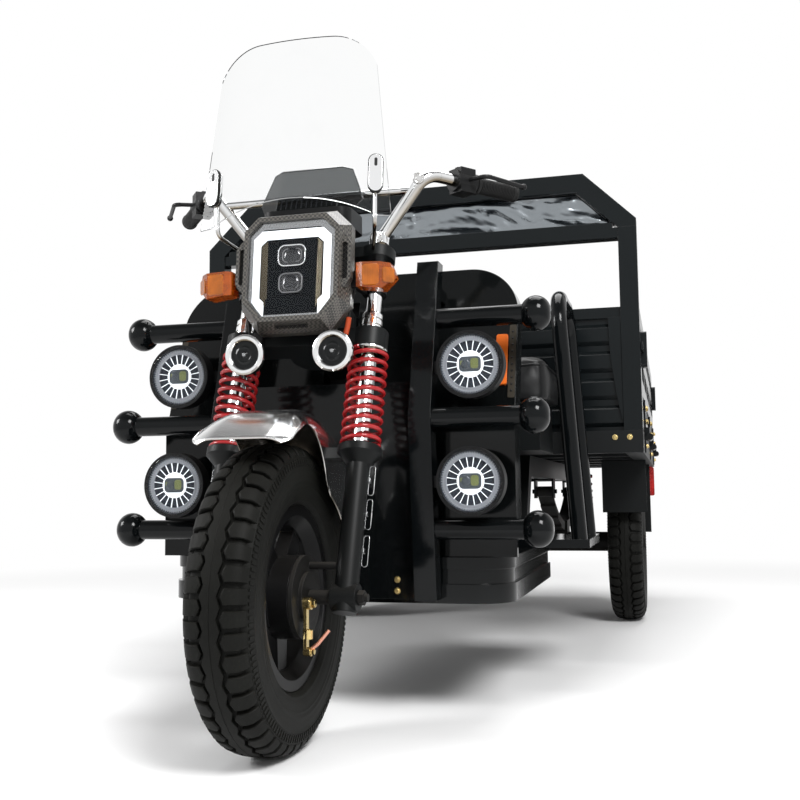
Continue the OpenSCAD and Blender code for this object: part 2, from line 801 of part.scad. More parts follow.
module lower_clamp() color("#1a1a1d") fork_frame() translate([0, 0, clamp_z]) {
    difference() {
        union() {
            linear_extrude(clamp_t) clamp_plan();
            for (s = [-1, 1]) translate([s * fork_half, 0, -6]) cylinder(d = spring_od - 8, h = 7);
        }
        clamp_bores();
    }
    translate([0, fork_offset, 1]) cylinder(d = stem_d, h = upper_z - clamp_z - 1);
}

module upper_clamp() color("#1a1a1d") fork_frame() translate([0, 0, upper_z]) {
    difference() {
        linear_extrude(upper_t) clamp_plan();
        clamp_bores();
    }
    translate([0, fork_offset, upper_t - 1]) cylinder(d = 40, h = 14, $fn = 6);
}

module fork_tubes() color("#c9ccd0") fork_frame() for (s = [-1, 1])
    translate([s * fork_half, 0, spring_seat_h]) cylinder(d = fork_tube_d, h = fork_top - spring_seat_h);

module fork_lower_legs() color("#151517") fork_frame() both_sides() difference() {
    union() {
        translate([fork_half, 0, -28]) cylinder(d = leg_d, h = spring_seat_h - 14 + 28);
        translate([fork_half, 0, spring_seat_h - 34]) cylinder(d1 = leg_d, d2 = spring_seat_d, h = 20);
        translate([fork_half, 0, spring_seat_h - 14]) cylinder(d = spring_seat_d, h = 14);
        rod_x(fork_half - lug_w / 2, fork_half + lug_w / 2, 50);
        span([guard_half, -11, guard_low + 3], [fork_half, 11, guard_low + 25]);
    }
    rod_x(0, 2 * fork_half, axle_d + 2 * run_gap);
}

// One spring: each half turn is a half ring leaning up by a quarter pitch; the slimmer halves run into
// the fuller ones
module fork_spring() {
    free = spring_len - spring_wire_d - 2 * seat_gap;
    pitch = free / spring_turns;
    lean = atan(pitch / (4 * spring_r));
    for (i = [0:2 * spring_turns - 1]) {
        even = i % 2 == 0;
        lap = even ? 0 : 2;
        translate([0, 0, spring_wire_d / 2 + seat_gap + (i + 0.5) * pitch / 2])
            rotate([0, even ? lean : -lean, 0]) rotate([0, 0, (even ? 0 : 180) - lap])
                rotate_extrude(angle = 180 + 2 * lap) translate([spring_r / cos(lean), 0])
                    circle(d = spring_wire_d - (even ? 0 : 0.3));
    }
}

module fork_springs() color("#c8201f") fork_frame() both_sides()
    translate([fork_half, 0, spring_seat_h]) fork_spring();

module front_axle() color("#b9a25a") translate([0, 0, tyre_r]) {
    end = fork_half + lug_w / 2;
    rod_x(-end - 18, end + 18, axle_d);
    both_sides() {
        rod_x(hub_half + 1, fork_half - lug_w / 2, 26);
        translate([end, 0, 0]) rotate([0, 90, 0]) cylinder(d = 27, h = 12, $fn = 6);
    }
}

module brake_plate() color("#1c1c1f") fork_frame() difference() {
    union() {
        rod_x(hub_half + 1, hub_half + 9, drum_d);
        rod_x(hub_half + 8, hub_half + 16, drum_d - 60);
        translate([0, 0, 58]) rod_x(hub_half + 8, fork_half - leg_d / 2 - seat_gap, 14);
    }
    rod_x(0, fork_half, 26 + 2 * run_gap);
}

module brake_arm() color("#b9a25a") translate([hub_half + 16, -30, tyre_r - 8]) {
    reach = 84;
    t = 6;
    rotate([0, 90, 0]) {
        cylinder(d = 22, h = t + 6);
        translate([0, -6, 0]) cube([reach, 12, t]);
        translate([reach, 0, 0]) cylinder(d = 16, h = t + 6);
    }
}

// Section of the mudguard: an arch with round shoulders
module guard_arch(in) {
    r = 34 - in;
    low = guard_flank - 2 * in;
    translate([low, in - guard_half]) square([guard_r - in - r - low, 2 * (guard_half - in)]);
    translate([low, in - guard_half + r]) square([guard_r - in - low, 2 * (guard_half - in - r)]);
    for (s = [-1, 1]) translate([guard_r - in - r, s * (guard_half - in - r)]) circle(r);
}

module front_mudguard() color("#cfd3d6") translate([0, 0, tyre_r]) {
    ahead = 31;
    behind = 50;
    bill = [92, guard_r - 3.4, 3, 21];
    bill_y = -bill[1] * sin(ahead);
    // Lower edge of the flanks from the side, from the bill to the rear
    edge = [[-0.5, 0.83], [-0.37, 0.885], [-0.13, 0.915], [0.02, 0.86], [0.11, 0.76], [0.17, 0.65], [0.2, 0.5]];
    cut = concat(edge, [[0.2, 0.3], [-1, 0.3], [-1, 0.5]]) * guard_r;
    difference() {
        rotate([0, 90, 0]) rotate([0, 0, 180 - behind]) rotate_extrude(angle = ahead + behind) difference() {
            guard_arch(0);
            guard_arch(3);
        }
        along_x(-2 * guard_half, 4 * guard_half) polygon(cut);
    }
    intersection() {
        rotate([0, 90, 0]) rotate([0, 0, 180 + ahead - bill[3]]) rotate_extrude(angle = bill[3])
            translate([bill[1], -bill[0]]) square([bill[2], 2 * bill[0]]);
        linear_extrude(2 * guard_r) round_rect([-bill[0], bill_y - 3], [bill[0], bill_y + 96], 36);
    }
}

// Headlamp, signals and screen

module headlamp_frame() translate([0, headlamp_y, headlamp_z]) rotate([-headlamp_tilt, 0, 0]) children();

// The headlamp's eight-sided outline, narrower at the foot
module headlamp_outline(w, h) {
    x = w / 2;
    z = h / 2;
    low = [0.66, 0.6];
    high = [0.72, 0.74];
    polygon([[-x * low[0], -z], [x * low[0], -z], [x, -z * low[1]], [x, z * high[1]], [x * high[0], z],
        [-x * high[0], z], [-x, z * high[1]], [-x, -z * low[1]]]);
}

// A vent pod at the headlamp's side, seen from the front
module vent_outline() {
    x = headlamp_w / 2;
    polygon([[x - 20, -52], [x - 2, -38], [x + 7, -24], [x + 7, 46], [x - 2, 60], [x - 20, 74]]);
}

module headlamp_housing() color("#4a4642") headlamp_frame() difference() {
    rim = 9;
    vent = headlamp_w / 2 - 6;
    foot = headlamp_h / 2;
    union() {
        hull() {
            along_y(0, 1) headlamp_outline(lens_w + 2 * rim, lens_h + 2 * rim);
            along_y(bezel_t - 22, 22) headlamp_outline(headlamp_w, headlamp_h);
        }
        hull() {
            along_y(bezel_t - 1, 1) headlamp_outline(headlamp_w - 8, headlamp_h - 8);
            along_y(bezel_t + 27, 5) circle(52, $fn = 32);
        }
        both_sides() along_y(vent_y, 18) vent_outline();
    }
    along_y(-1, lens_t + 1) headlamp_outline(lens_w, lens_h);
    for (s = [-1, 1]) along_y(vent_y - 1, 9) round_rect([s * vent - 6, -26], [s * vent + 6, 48], 4);
    along_y(-1, 22) round_rect([-34, -foot + 4], [34, -foot + 13], 4);
}

module headlamp_lens() color("#20252a", 0.7) headlamp_frame() along_y(3, lens_t - 3)
    headlamp_outline(lens_w - 2 * seat_gap, lens_h - 2 * seat_gap);

module headlamp_bracket() color("#151517") both_sides() {
    x = headlamp_w / 2;
    ring_z = (signal_z - tyre_r) / cos(rake);
    difference() {
        union() {
            span([x, arm_y, signal_z - 16],
                [x + arm_t, ring_z * sin(rake), signal_z + 16]);
            fork_frame() translate([fork_half, 0, ring_z - 18]) cylinder(d = fork_tube_d + 16, h = 36);
        }
        fork_frame() translate([fork_half, 0, 0]) cylinder(d = fork_tube_d + 2 * run_gap, h = fork_top);
    }
    translate([0, arm_y + 9, signal_z]) rod_x(x + arm_t - 1, signal_x, 16);
}

module turn_signals() color("#e87812") both_sides() intersection() {
    tip = signal_x + signal_len;
    along_y(signal_y, signal_t) polygon([[signal_x, signal_z - 20], [tip - 24, signal_z - 27],
        [tip, signal_z - 4], [tip - 10, signal_z + 24], [signal_x, signal_z + 27]]);
    linear_extrude(2 * signal_z) polygon([[signal_x - 1, signal_y + 8], [signal_x + 14, signal_y],
        [tip - 26, signal_y], [tip + 1, signal_y + 26], [tip + 1, signal_y + signal_t + 1],
        [signal_x - 1, signal_y + signal_t + 1]]);
}

module instrument_pod() color("#17171a") {
    fork_frame() span([-30, -20, upper_z + upper_t], [30, 17, upper_z + upper_t + 64]);
    translate([0, 0, pod_z]) linear_extrude(pod_h) round_rect([-94, pod_y], [94, pod_y + 120], 26);
}

// The deflector's sides are folded back from its middle panel
module deflector() color("#2a2422", 0.8) translate([0, pod_y + 10, pod_z + pod_h])
    rotate([-24, 0, 0]) intersection() {
    half = 112;
    fold = [66, 24];
    along_y(-1, 60) polygon([[-98, 11], [-fold[0], 1.5], [fold[0], 1.5], [98, 11], [half, 38], [86, 108],
        [-86, 108], [-half, 38]]);
    linear_extrude(120) polygon([[-half - 1, fold[1]], [-fold[0], 0], [fold[0], 0], [half + 1, fold[1]],
        [half + 1, fold[1] + 3.4], [fold[0], 3], [-fold[0], 3], [-half - 1, fold[1] + 3.4]]);
}

module horns() color("#3b3d40") both_sides() {
    x = 90;
    y = 66;
    z = 734;
    translate([x, y, z]) rotate([-90, 0, 0]) {
        cylinder(d = 80, h = 12);
        translate([0, 0, 11]) cylinder(d1 = 72, d2 = 58, h = 22);
        translate([0, 0, 32]) cylinder(d = 22, h = 24);
    }
    fork_frame() span([x - 10, -36, clamp_z - 54], [x + 10, -28, clamp_z + clamp_t - 4]);
}

bar_foot = [fork_half, fork_top * sin(rake), tyre_r + fork_top * cos(rake)];
bar_knee = bar_foot + [riser_out, -7, riser_up];
bar_end = bar_knee + [sweep_out, sweep_back, 0];

module handlebar() color("#cdd0d3") {
    brace = 0.78;
    brace_at = bar_foot + (bar_knee - bar_foot) * brace;
    both_sides() {
        fork_frame() translate([fork_half, 0, fork_top]) cylinder(d = 42, h = 24);
        pipe([bar_foot + [0, 4, 12], bar_knee, bar_end], bar_d, bar_bend);
        translate([0, brace_at[1], brace_at[2]]) rod_x(-1, brace_at[0], 16);
    }
}

// The grip section's frame: z from the outer end back towards the knee
module grip_frame() toward(bar_end, bar_knee) children();

module grips() color("#111113") both_sides() grip_frame() difference() {
    translate([0, 0, -6]) cylinder(d = bar_d + 10, h = grip_len);
    translate([0, 0, 0]) cylinder(d = bar_d + 2 * run_gap, h = grip_len + 10);
}

module switch_pods() color("#131315") both_sides() {
    pod_len = 52;
    start = grip_len - 6 + 2;
    grip_frame() difference() {
        union() {
            translate([0, 0, start]) cylinder(d = bar_d + 20, h = pod_len);
            translate([-26, -20, start + 6]) cube([52, 40, pod_len - 12]);
        }
        cylinder(d = bar_d + 2 * run_gap, h = 2 * grip_len);
    }
    grip_frame() {
        lever_d = 9;
        pipe([[0, 18, start + 26], [0, 62, start + 14], [0, 50, 14]], lever_d, 16);
        translate([0, 50, 14]) sphere(d = lever_d + 5, $fn = 24);
    }
}

module screen_frame() translate([0, screen_y, screen_z]) rotate([-screen_lean, 0, 0]) children();

module screen_outline() {
    r = 95;
    top = screen_half - 40;
    difference() {
        intersection() {
            polygon([[-screen_half, 0], [screen_half, 0], [top, screen_h], [-top, screen_h]]);
            union() {
                translate([-screen_half, -1]) square([2 * screen_half, screen_h - r + 1]);
                translate([r - top - 12, 0]) square([2 * (top + 12 - r), screen_h]);
                for (s = [-1, 1]) translate([s * (top + 12 - r), screen_h - r]) circle(r);
            }
        }
        translate([0, -363]) circle(403, $fn = 96);
    }
}

module windscreen() color("#dfe6ea", 0.35) screen_frame() intersection() {
    along_y(-1, 120) screen_outline();
    translate([0, screen_r, -1]) difference() {
        cylinder(r = screen_r, h = screen_h + 2);
        translate([0, 0, -1]) cylinder(r = screen_r - screen_t, h = screen_h + 4);
    }
}

module screen_stays() color("#cdd0d3") both_sides() {
    turn = asin(clamp_x / screen_r);
    wire_d = 8;
    foot = [fork_half, 0, upper_z + upper_t / 2];
    plate_z = 85;
    screen_frame() translate([0, screen_r, plate_z]) rotate([0, 0, turn]) for (y = [-6 - seat_gap, screen_t + 0.5])
        along_y(-screen_r + y, 6) round_rect([-13, -38], [13, 38], 12.9);
    wire_y = screen_y + screen_r - (screen_r - screen_t - 6) * cos(turn);
    pipe([[clamp_x - 4, wire_y + 10, screen_z + plate_z - 26], [clamp_x - 4, wire_y + 6, 985],
        [fork_half, foot[2] * sin(rake) - (clamp_r + 0.9) * cos(rake),
            tyre_r + foot[2] * cos(rake) + (clamp_r + 0.9) * sin(rake)]], wire_d, 20);
}

// Wheels, each about its own axle

// Half of the tyre's section from the crown to the bead: share of the half width, share of the height
tyre_shape = [[0, 0], [0.34, 0.01], [0.64, 0.037], [0.81, 0.088], [0.915, 0.176], [0.983, 0.335], [1, 0.5],
    [0.95, 0.7], [0.85, 0.83]];

module tyre() color("#2b2927") rotate([0, 90, 0]) rotate_extrude() {
    bead_half = rim_w / 2 - flange_t - 1;
    bead_r = rim_r + seat_gap;
    lip_r = rim_r + flange_h + 1;
    half = concat([for (p = tyre_shape) [tyre_r - p[1] * (tyre_r - bead_r), p[0] * tyre_w / 2]],
        [[lip_r + 1, bead_half + 8], [lip_r, bead_half], [bead_r, bead_half]]);
    n = len(half);
    polygon(concat(half, [for (i = [1:n - 1]) [half[n - i][0], -half[n - i][1]]]));
}

// A cast rim with its drum towards +x
module rim(bore) color("#1a1a1c") rotate([0, 90, 0]) difference() {
    h = rim_w / 2;
    well = 14;
    skin = 8;
    union() {
        rotate_extrude() polygon([[rim_r + flange_h, -h], [rim_r + flange_h, flange_t - h],
            [rim_r, flange_t - h], [rim_r, 20 - h], [rim_r - well, 28 - h], [rim_r - well, h - 28],
            [rim_r, h - 20], [rim_r, h - flange_t], [rim_r + flange_h, h - flange_t],
            [rim_r + flange_h, h], [rim_r - 6, h], [rim_r - well - skin, h - 24],
            [rim_r - well - skin, 24 - h], [rim_r - 6, -h]]);
        translate([0, 0, -hub_half]) cylinder(d = hub_d, h = 2 * hub_half);
        translate([0, 0, 8]) cylinder(d = drum_d, h = hub_half - 8);
        for (i = [0:spoke_count - 1]) rotate([0, 0, i * 360 / spoke_count])
            translate([0, 0, -14]) linear_extrude(28)
                polygon([[hub_d / 2 - 8, -27], [rim_r - well - 4, -19], [rim_r - well - 4, 19], [hub_d / 2 - 8, 27]]);
    }
    translate([0, 0, -2 * hub_half]) cylinder(d = bore + 2 * run_gap, h = 4 * hub_half);
}

module front_tyre() translate([0, 0, tyre_r]) tyre();
module front_rim() translate([0, 0, tyre_r]) rim(axle_d);
module rear_left_tyre() translate([rear_x, wheelbase, tyre_r]) tyre();
module rear_left_rim() translate([rear_x, wheelbase, tyre_r]) mirror([1, 0, 0]) rim(spindle_d);
module rear_right_tyre() translate([-rear_x, wheelbase, tyre_r]) tyre();
module rear_right_rim() translate([-rear_x, wheelbase, tyre_r]) rim(spindle_d);

vehicle() frame_rails();
vehicle() frame_members();
vehicle() head_frame();
vehicle() leg_shield();
vehicle() dash_panel();
vehicle() floor_pan();
vehicle() bumper_posts();
vehicle() bumper_tubes();
vehicle() led_bodies();
vehicle() led_lenses();
vehicle() side_reflectors();
vehicle() battery_box();
vehicle() seat_cushion();
vehicle() seat_backrest();
vehicle() side_hoops();
vehicle() bed_floor();
vehicle() bed_front_wall();
vehicle() bed_posts();
vehicle() rack_bars();
vehicle() rack_sheet();
vehicle() bed_hinges();
vehicle() rear_axle();
vehicle() drive_motor();
vehicle() leaf_springs();
vehicle() rear_shocks();
vehicle() rear_mudguards();
vehicle() tail_lamps();
vehicle() lower_clamp();
vehicle() upper_clamp();
vehicle() fork_tubes();
vehicle() fork_lower_legs();
vehicle() fork_springs();
vehicle() front_axle();
vehicle() brake_plate();
vehicle() brake_arm();
vehicle() front_mudguard();
vehicle() headlamp_housing();
vehicle() headlamp_lens();
vehicle() headlamp_bracket();
vehicle() instrument_pod();
vehicle() deflector();
vehicle() turn_signals();
vehicle() horns();
vehicle() handlebar();
vehicle() grips();
vehicle() switch_pods();
vehicle() windscreen();
vehicle() screen_stays();
vehicle() front_tyre();
vehicle() front_rim();
vehicle() rear_left_tyre();
vehicle() rear_left_rim();
vehicle() rear_right_tyre();
vehicle() rear_right_rim();
vehicle() tailgate();
vehicle() left_gate();
vehicle() right_gate();
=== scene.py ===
import bisect
import json
import math

import bmesh
import bpy
from mathutils import Matrix, Vector, noise
from mathutils.bvhtree import BVHTree


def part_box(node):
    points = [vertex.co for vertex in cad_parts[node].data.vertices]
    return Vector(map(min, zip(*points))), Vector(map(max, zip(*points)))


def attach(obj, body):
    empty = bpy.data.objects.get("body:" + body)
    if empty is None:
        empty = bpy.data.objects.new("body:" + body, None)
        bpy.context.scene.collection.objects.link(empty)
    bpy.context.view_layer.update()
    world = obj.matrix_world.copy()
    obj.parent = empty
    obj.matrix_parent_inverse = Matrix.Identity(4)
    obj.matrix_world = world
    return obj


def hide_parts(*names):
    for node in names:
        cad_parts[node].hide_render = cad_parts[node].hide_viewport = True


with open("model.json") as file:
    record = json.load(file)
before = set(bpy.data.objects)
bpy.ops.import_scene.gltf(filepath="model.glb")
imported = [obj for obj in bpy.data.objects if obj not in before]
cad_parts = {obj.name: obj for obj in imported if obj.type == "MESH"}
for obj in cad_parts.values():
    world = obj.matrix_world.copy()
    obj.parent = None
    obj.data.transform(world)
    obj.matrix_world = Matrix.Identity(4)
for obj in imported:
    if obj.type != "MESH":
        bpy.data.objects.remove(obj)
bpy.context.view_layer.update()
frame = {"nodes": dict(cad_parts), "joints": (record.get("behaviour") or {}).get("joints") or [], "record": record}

nodes = frame["nodes"]
joints = {j["name"]: j for j in frame["joints"]}

# Lengths below are millimetres; y counts rearward from the front axle, x to the vehicle's left
mm = 0.001
frontAxle = Vector(joints["front_wheel_spin"]["pos_m"])
steerAxis = Vector(joints["steering"]["axis"])
tyreRadius = frontAxle.z / mm


def place(x, y, z):
    return Vector((x * mm, y * mm + frontAxle.y, z * mm))


def frameAt(origin, zAxis, xHint=(1, 0, 0)):  # matrix whose z runs along zAxis
    z = Vector(zAxis).normalized()
    x = Vector(xHint)
    x = (x - z * x.dot(z)).normalized()
    y = z.cross(x)
    m = Matrix((x, y, z)).transposed().to_4x4()
    m.translation = origin
    return m


forkFrame = frameAt(frontAxle, steerAxis)  # z up along the legs, y to the rear


# Mesh building

class Pot:  # gathers many small shapes into one mesh
    def __init__(self):
        self.verts = []
        self.faces = []

    def add(self, verts, faces, matrix=None):
        base = len(self.verts)
        for v in verts:
            v = Vector(v) * mm
            self.verts.append(matrix @ v if matrix else v)
        self.faces.extend([tuple(i + base for i in f) for f in faces])

    def lathe(self, profile, matrix, segments=48, closed=False):  # profile of (radius, height)
        verts = []
        faces = []
        n = len(profile)
        for k in range(segments):
            a = 2 * math.pi * k / segments
            verts.extend((r * math.cos(a), r * math.sin(a), z) for r, z in profile)
        for k in range(segments):
            q = (k + 1) % segments
            for i in range(n if closed else n - 1):
                j = (i + 1) % n
                faces.append((k * n + i, q * n + i, q * n + j, k * n + j))
        self.add(verts, faces, matrix)

    def tube(self, points, radius, sides=12, matrix=None, caps=True):
        points = [Vector(p) for p in points]
        verts = []
        faces = []
        up = None
        for i, p in enumerate(points):
            d = (points[min(i + 1, len(points) - 1)] - points[max(i - 1, 0)]).normalized()
            if up is None:
                up = d.orthogonal().normalized()
            up = (up - d * up.dot(d)).normalized()
            side = d.cross(up)
            for k in range(sides):
                a = 2 * math.pi * k / sides
                verts.append(p + (up * math.cos(a) + side * math.sin(a)) * radius)
        for i in range(len(points) - 1):
            for k in range(sides):
                q = (k + 1) % sides
                faces.append((i * sides + k, i * sides + q, (i + 1) * sides + q, (i + 1) * sides + k))
        if caps:
            last = (len(points) - 1) * sides
            faces.append(tuple(range(sides - 1, -1, -1)))
            faces.append(tuple(last + k for k in range(sides)))
        self.add(verts, faces, matrix)

    def prism(self, outline, z0, z1, matrix, chamfer=0):  # outline of (x, y), drawn up z, top edge chamfered
        n = len(outline)
        cx = sum(p[0] for p in outline) / n
        cy = sum(p[1] for p in outline) / n

        def inset(p):
            d = math.hypot(p[0] - cx, p[1] - cy)
            k = max(0, 1 - chamfer / d)
            return cx + (p[0] - cx) * k, cy + (p[1] - cy) * k

        rings = [[(x, y, z0) for x, y in outline], [(x, y, z1 - chamfer) for x, y in outline]]
        if chamfer:
            rings.append([(*inset(p), z1) for p in outline])
        verts = [v for ring in rings for v in ring]
        faces = [tuple(range(n - 1, -1, -1)), tuple((len(rings) - 1) * n + i for i in range(n))]
        for k in range(len(rings) - 1):
            for i in range(n):
                j = (i + 1) % n
                faces.append((k * n + i, k * n + j, (k + 1) * n + j, (k + 1) * n + i))
        self.add(verts, faces, matrix)

    def bolt(self, point, axis, size=10, head=6):  # washer and chamfered six-sided head
        m = frameAt(point, axis, (0.3, 0.2, 0.9) if abs(axis[2]) < 0.9 else (1, 0, 0))
        r = size * 0.58
        self.lathe([(0, 0), (size * 0.85, 0), (size * 0.85, 1.4), (0, 1.4)], m, 20)
        hexagon = [(r * math.cos(math.pi * k / 3), r * math.sin(math.pi * k / 3)) for k in range(6)]
        self.prism(hexagon, 1.2, 1.2 + head, m, size * 0.07)

    def make(self, name, finish, body, slot, replaces=(), sharp=32):
        mesh = bpy.data.meshes.new(name)
        mesh.from_pydata([tuple(v) for v in self.verts], [], self.faces)
        mesh.validate()
        bm = bmesh.new()
        bm.from_mesh(mesh)
        bmesh.ops.recalc_face_normals(bm, faces=bm.faces)
        bm.to_mesh(mesh)
        bm.free()
        obj = bpy.data.objects.new(name, mesh)
        bpy.context.scene.collection.objects.link(obj)
        return dress(obj, finish, body, replaces, sharp)


def dress(obj, finish, body, replaces=(), sharp=32):
    obj.data.materials.clear()
    obj.data.materials.append(finishes[finish])
    for polygon in obj.data.polygons:
        polygon.use_smooth = True
    obj.data.set_sharp_from_angle(angle=math.radians(sharp))
    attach(obj, body)
    if replaces:
        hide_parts(*replaces)
    return obj


# Shader nodes

def feed(tree, node, values):  # gives sockets a number, a colour or another node's output
    for key, value in values.items():
        socket = node.inputs[key]
        if isinstance(value, (int, float)):
            socket.default_value = value
        elif isinstance(value, tuple):
            socket.default_value = (*value[:3], 1)
        elif value is not None:
            tree.links.new(value, socket)


def addNode(tree, kind, values=None, **settings):
    n = tree.nodes.new("ShaderNode" + kind)
    for key, value in settings.items():
        setattr(n, key, value)
    feed(tree, n, values or {})
    return n


def mathNode(tree, operation, a, b, clamp=False):
    return addNode(tree, "Math", {0: a, 1: b}, operation=operation, use_clamp=clamp).outputs[0]


def times(tree, a, b, clamp=False):
    return mathNode(tree, "MULTIPLY", a, b, clamp)


def plus(tree, a, b, clamp=False):
    return mathNode(tree, "ADD", a, b, clamp)


def mixColor(tree, factor, a, b):
    return addNode(tree, "Mix", {0: factor, 6: a, 7: b}, data_type="RGBA").outputs[2]


def noiseNode(tree, vector, scale, detail, rough):
    values = {"Vector": vector, "Scale": scale, "Detail": detail, "Roughness": rough}
    return addNode(tree, "TexNoise", values).outputs["Fac"]


def ramp(tree, value, low, high):  # 0 below low, 1 above high
    values = {"Value": value, "From Min": low, "From Max": high}
    return addNode(tree, "MapRange", values, interpolation_type="SMOOTHSTEP").outputs["Result"]


def objectSpace(tree):
    return addNode(tree, "TexCoord").outputs["Object"]


def surfaceNormal(tree):
    return addNode(tree, "NewGeometry").outputs["Normal"]


def upPart(tree, vector):
    return addNode(tree, "SeparateXYZ", {0: vector}).outputs["Z"]


# Shader groups shared by several finishes

def newGroup(name, inputs, outputs):  # inputs with their usual values, outputs with their kinds
    group = bpy.data.node_groups.new(name, "ShaderNodeTree")
    for key, value in inputs.items():
        kind = "NodeSocketColor" if isinstance(value, tuple) else "NodeSocketFloat"
        group.interface.new_socket(key, in_out="INPUT", socket_type=kind).default_value = value
    for key, kind in outputs.items():
        group.interface.new_socket(key, in_out="OUTPUT", socket_type="NodeSocket" + kind)
    return group, group.nodes.new("NodeGroupInput").outputs, group.nodes.new("NodeGroupOutput")


def dustGroup():  # a thin pale film on upward faces, with specks
    g, given, out = newGroup("settledDust",
        {"Color": (0, 0, 0, 1), "Dust": (0.3, 0.27, 0.23, 1), "Amount": 0.2, "Roughness": 0.3},
        {"Color": "Color", "Roughness": "Float"})
    where = objectSpace(g)
    up = ramp(g, upPart(g, surfaceNormal(g)), 0.1, 1.0)
    specks = ramp(g, noiseNode(g, where, 620, 2, 0.6), 0.6, 0.76)
    streaks = ramp(g, noiseNode(g, where, 3, 2, 0.4), 0.3, 0.8)
    film = times(g, up, plus(g, times(g, streaks, 0.25), 0.3))
    mask = times(g, plus(g, film, times(g, specks, 0.16)), given["Amount"], True)
    rough = plus(g, given["Roughness"], times(g, mask, 0.6), True)
    feed(g, out, {"Color": mixColor(g, mask, given["Color"], given["Dust"]), "Roughness": rough})
    return g


def peelGroup():  # the slight ripple of sprayed paint, with finer specks
    g, given, out = newGroup("sprayRipple", {"Ripple": 160.0, "Speck": 0.15}, {"Height": "Float"})
    where = objectSpace(g)
    broad = noiseNode(g, where, given["Ripple"], 2, 0.4)
    fine = times(g, noiseNode(g, where, 900, 1, 0.5), given["Speck"])
    feed(g, out, {"Height": plus(g, broad, fine)})
    return g


def grainGroup():  # moulded pebble grain
    g, given, out = newGroup("mouldGrain", {"Scale": 700.0}, {"Height": "Float"})
    values = {"Vector": objectSpace(g), "Scale": given["Scale"]}
    cells = addNode(g, "TexVoronoi", values, feature="SMOOTH_F1")
    feed(g, out, {"Height": cells.outputs["Distance"]})
    return g


def edgeGroup():  # softly rounded edges, where the finish wears thin
    g, given, out = newGroup("softEdge",
        {"Color": (0, 0, 0, 1), "Edge": (0.2, 0.2, 0.2, 1), "Amount": 0.5, "Radius": 0.002},
        {"Color": "Color", "Normal": "Vector"})
    bevel = addNode(g, "Bevel", {"Radius": given["Radius"]}, samples=4).outputs[0]
    turn = addNode(g, "VectorMath", {0: bevel, 1: surfaceNormal(g)}, operation="DOT_PRODUCT")
    sharp = ramp(g, mathNode(g, "SUBTRACT", 1.0, turn.outputs["Value"]), 0.03, 0.3)
    broken = ramp(g, noiseNode(g, objectSpace(g), 70, 4, 0.6), 0.35, 0.65)
    mask = times(g, times(g, sharp, broken), given["Amount"], True)
    feed(g, out, {"Color": mixColor(g, mask, given["Color"], given["Edge"]), "Normal": bevel})
    return g


groups = {"dust": dustGroup(), "peel": peelGroup(), "grain": grainGroup(), "edge": edgeGroup()}


def useGroup(tree, name, **values):
    return addNode(tree, "Group", values, node_tree=groups[name]).outputs


# Finishes

def newMaterial(name):
    m = bpy.data.materials.new(name)
    m.use_nodes = True
    return m, m.node_tree, m.node_tree.nodes["Principled BSDF"]


def addBump(tree, shader, height, strength, distance, normal=None):
    values = {"Strength": strength, "Distance": distance, "Height": height, "Normal": normal}
    feed(tree, shader, {"Normal": addNode(tree, "Bump", values).outputs[0]})


def dustOver(tree, shader, color, amount, rough, **more):
    dusty = useGroup(tree, "dust", Color=color, Amount=amount, Roughness=rough, **more)
    feed(tree, shader, {"Base Color": dusty["Color"], "Roughness": dusty["Roughness"]})


def scaled(color, by, lift=0.0, most=math.inf):
    return tuple(min(most, c * by + lift) for c in color)


def paint(name, color, rough, dust=0.05, edge=0.2, specular=0.2, coat=0.0, ripple=160, wave=0.05):
    m, t, s = newMaterial(name)
    tone, normal = color, None
    if edge:
        worn = useGroup(t, "edge", Color=color, Edge=(0.05, 0.052, 0.055), Amount=edge)
        tone, normal = worn["Color"], worn["Normal"]
    dustOver(t, s, tone, dust, rough)
    feed(t, s, {"Specular IOR Level": specular, "Coat Weight": coat, "Coat Roughness": 0.05})
    if wave:
        addBump(t, s, useGroup(t, "peel", Ripple=ripple)[0], wave, 0.0004, normal)
    return m


def plastic(name, color, rough, grain=700, dust=0.08, depth=0.12, specular=0.25):
    m, t, s = newMaterial(name)
    worn = useGroup(t, "edge", Color=color, Edge=scaled(color, 2, 0.01), Amount=0.3, Radius=0.0015)
    dustOver(t, s, worn["Color"], dust, rough)
    feed(t, s, {"Specular IOR Level": specular})
    addBump(t, s, useGroup(t, "grain", Scale=grain)[0], depth, 0.0003, worn["Normal"])
    return m


def metal(name, color, rough, haze=0.1, dust=0.06, under=None):
    m, t, s = newMaterial(name)
    where = objectSpace(t)
    smear = ramp(t, noiseNode(t, where, 14, 5, 0.6), 0.35, 0.75)
    worn = useGroup(t, "edge", Color=color, Edge=scaled(color, 1.2, most=1), Amount=0.4, Radius=0.001)
    tone = worn["Color"]
    if under:  # painted shade: the side turned to the ground is painted darker
        tone = mixColor(t, ramp(t, upPart(t, surfaceNormal(t)), -0.75, 0.1), under, tone)
    dustOver(t, s, tone, dust, plus(t, times(t, smear, haze), rough))
    feed(t, s, {"Metallic": 1.0})
    addBump(t, s, noiseNode(t, where, 340, 2, 0.5), 0.03, 0.0003, worn["Normal"])
    return m


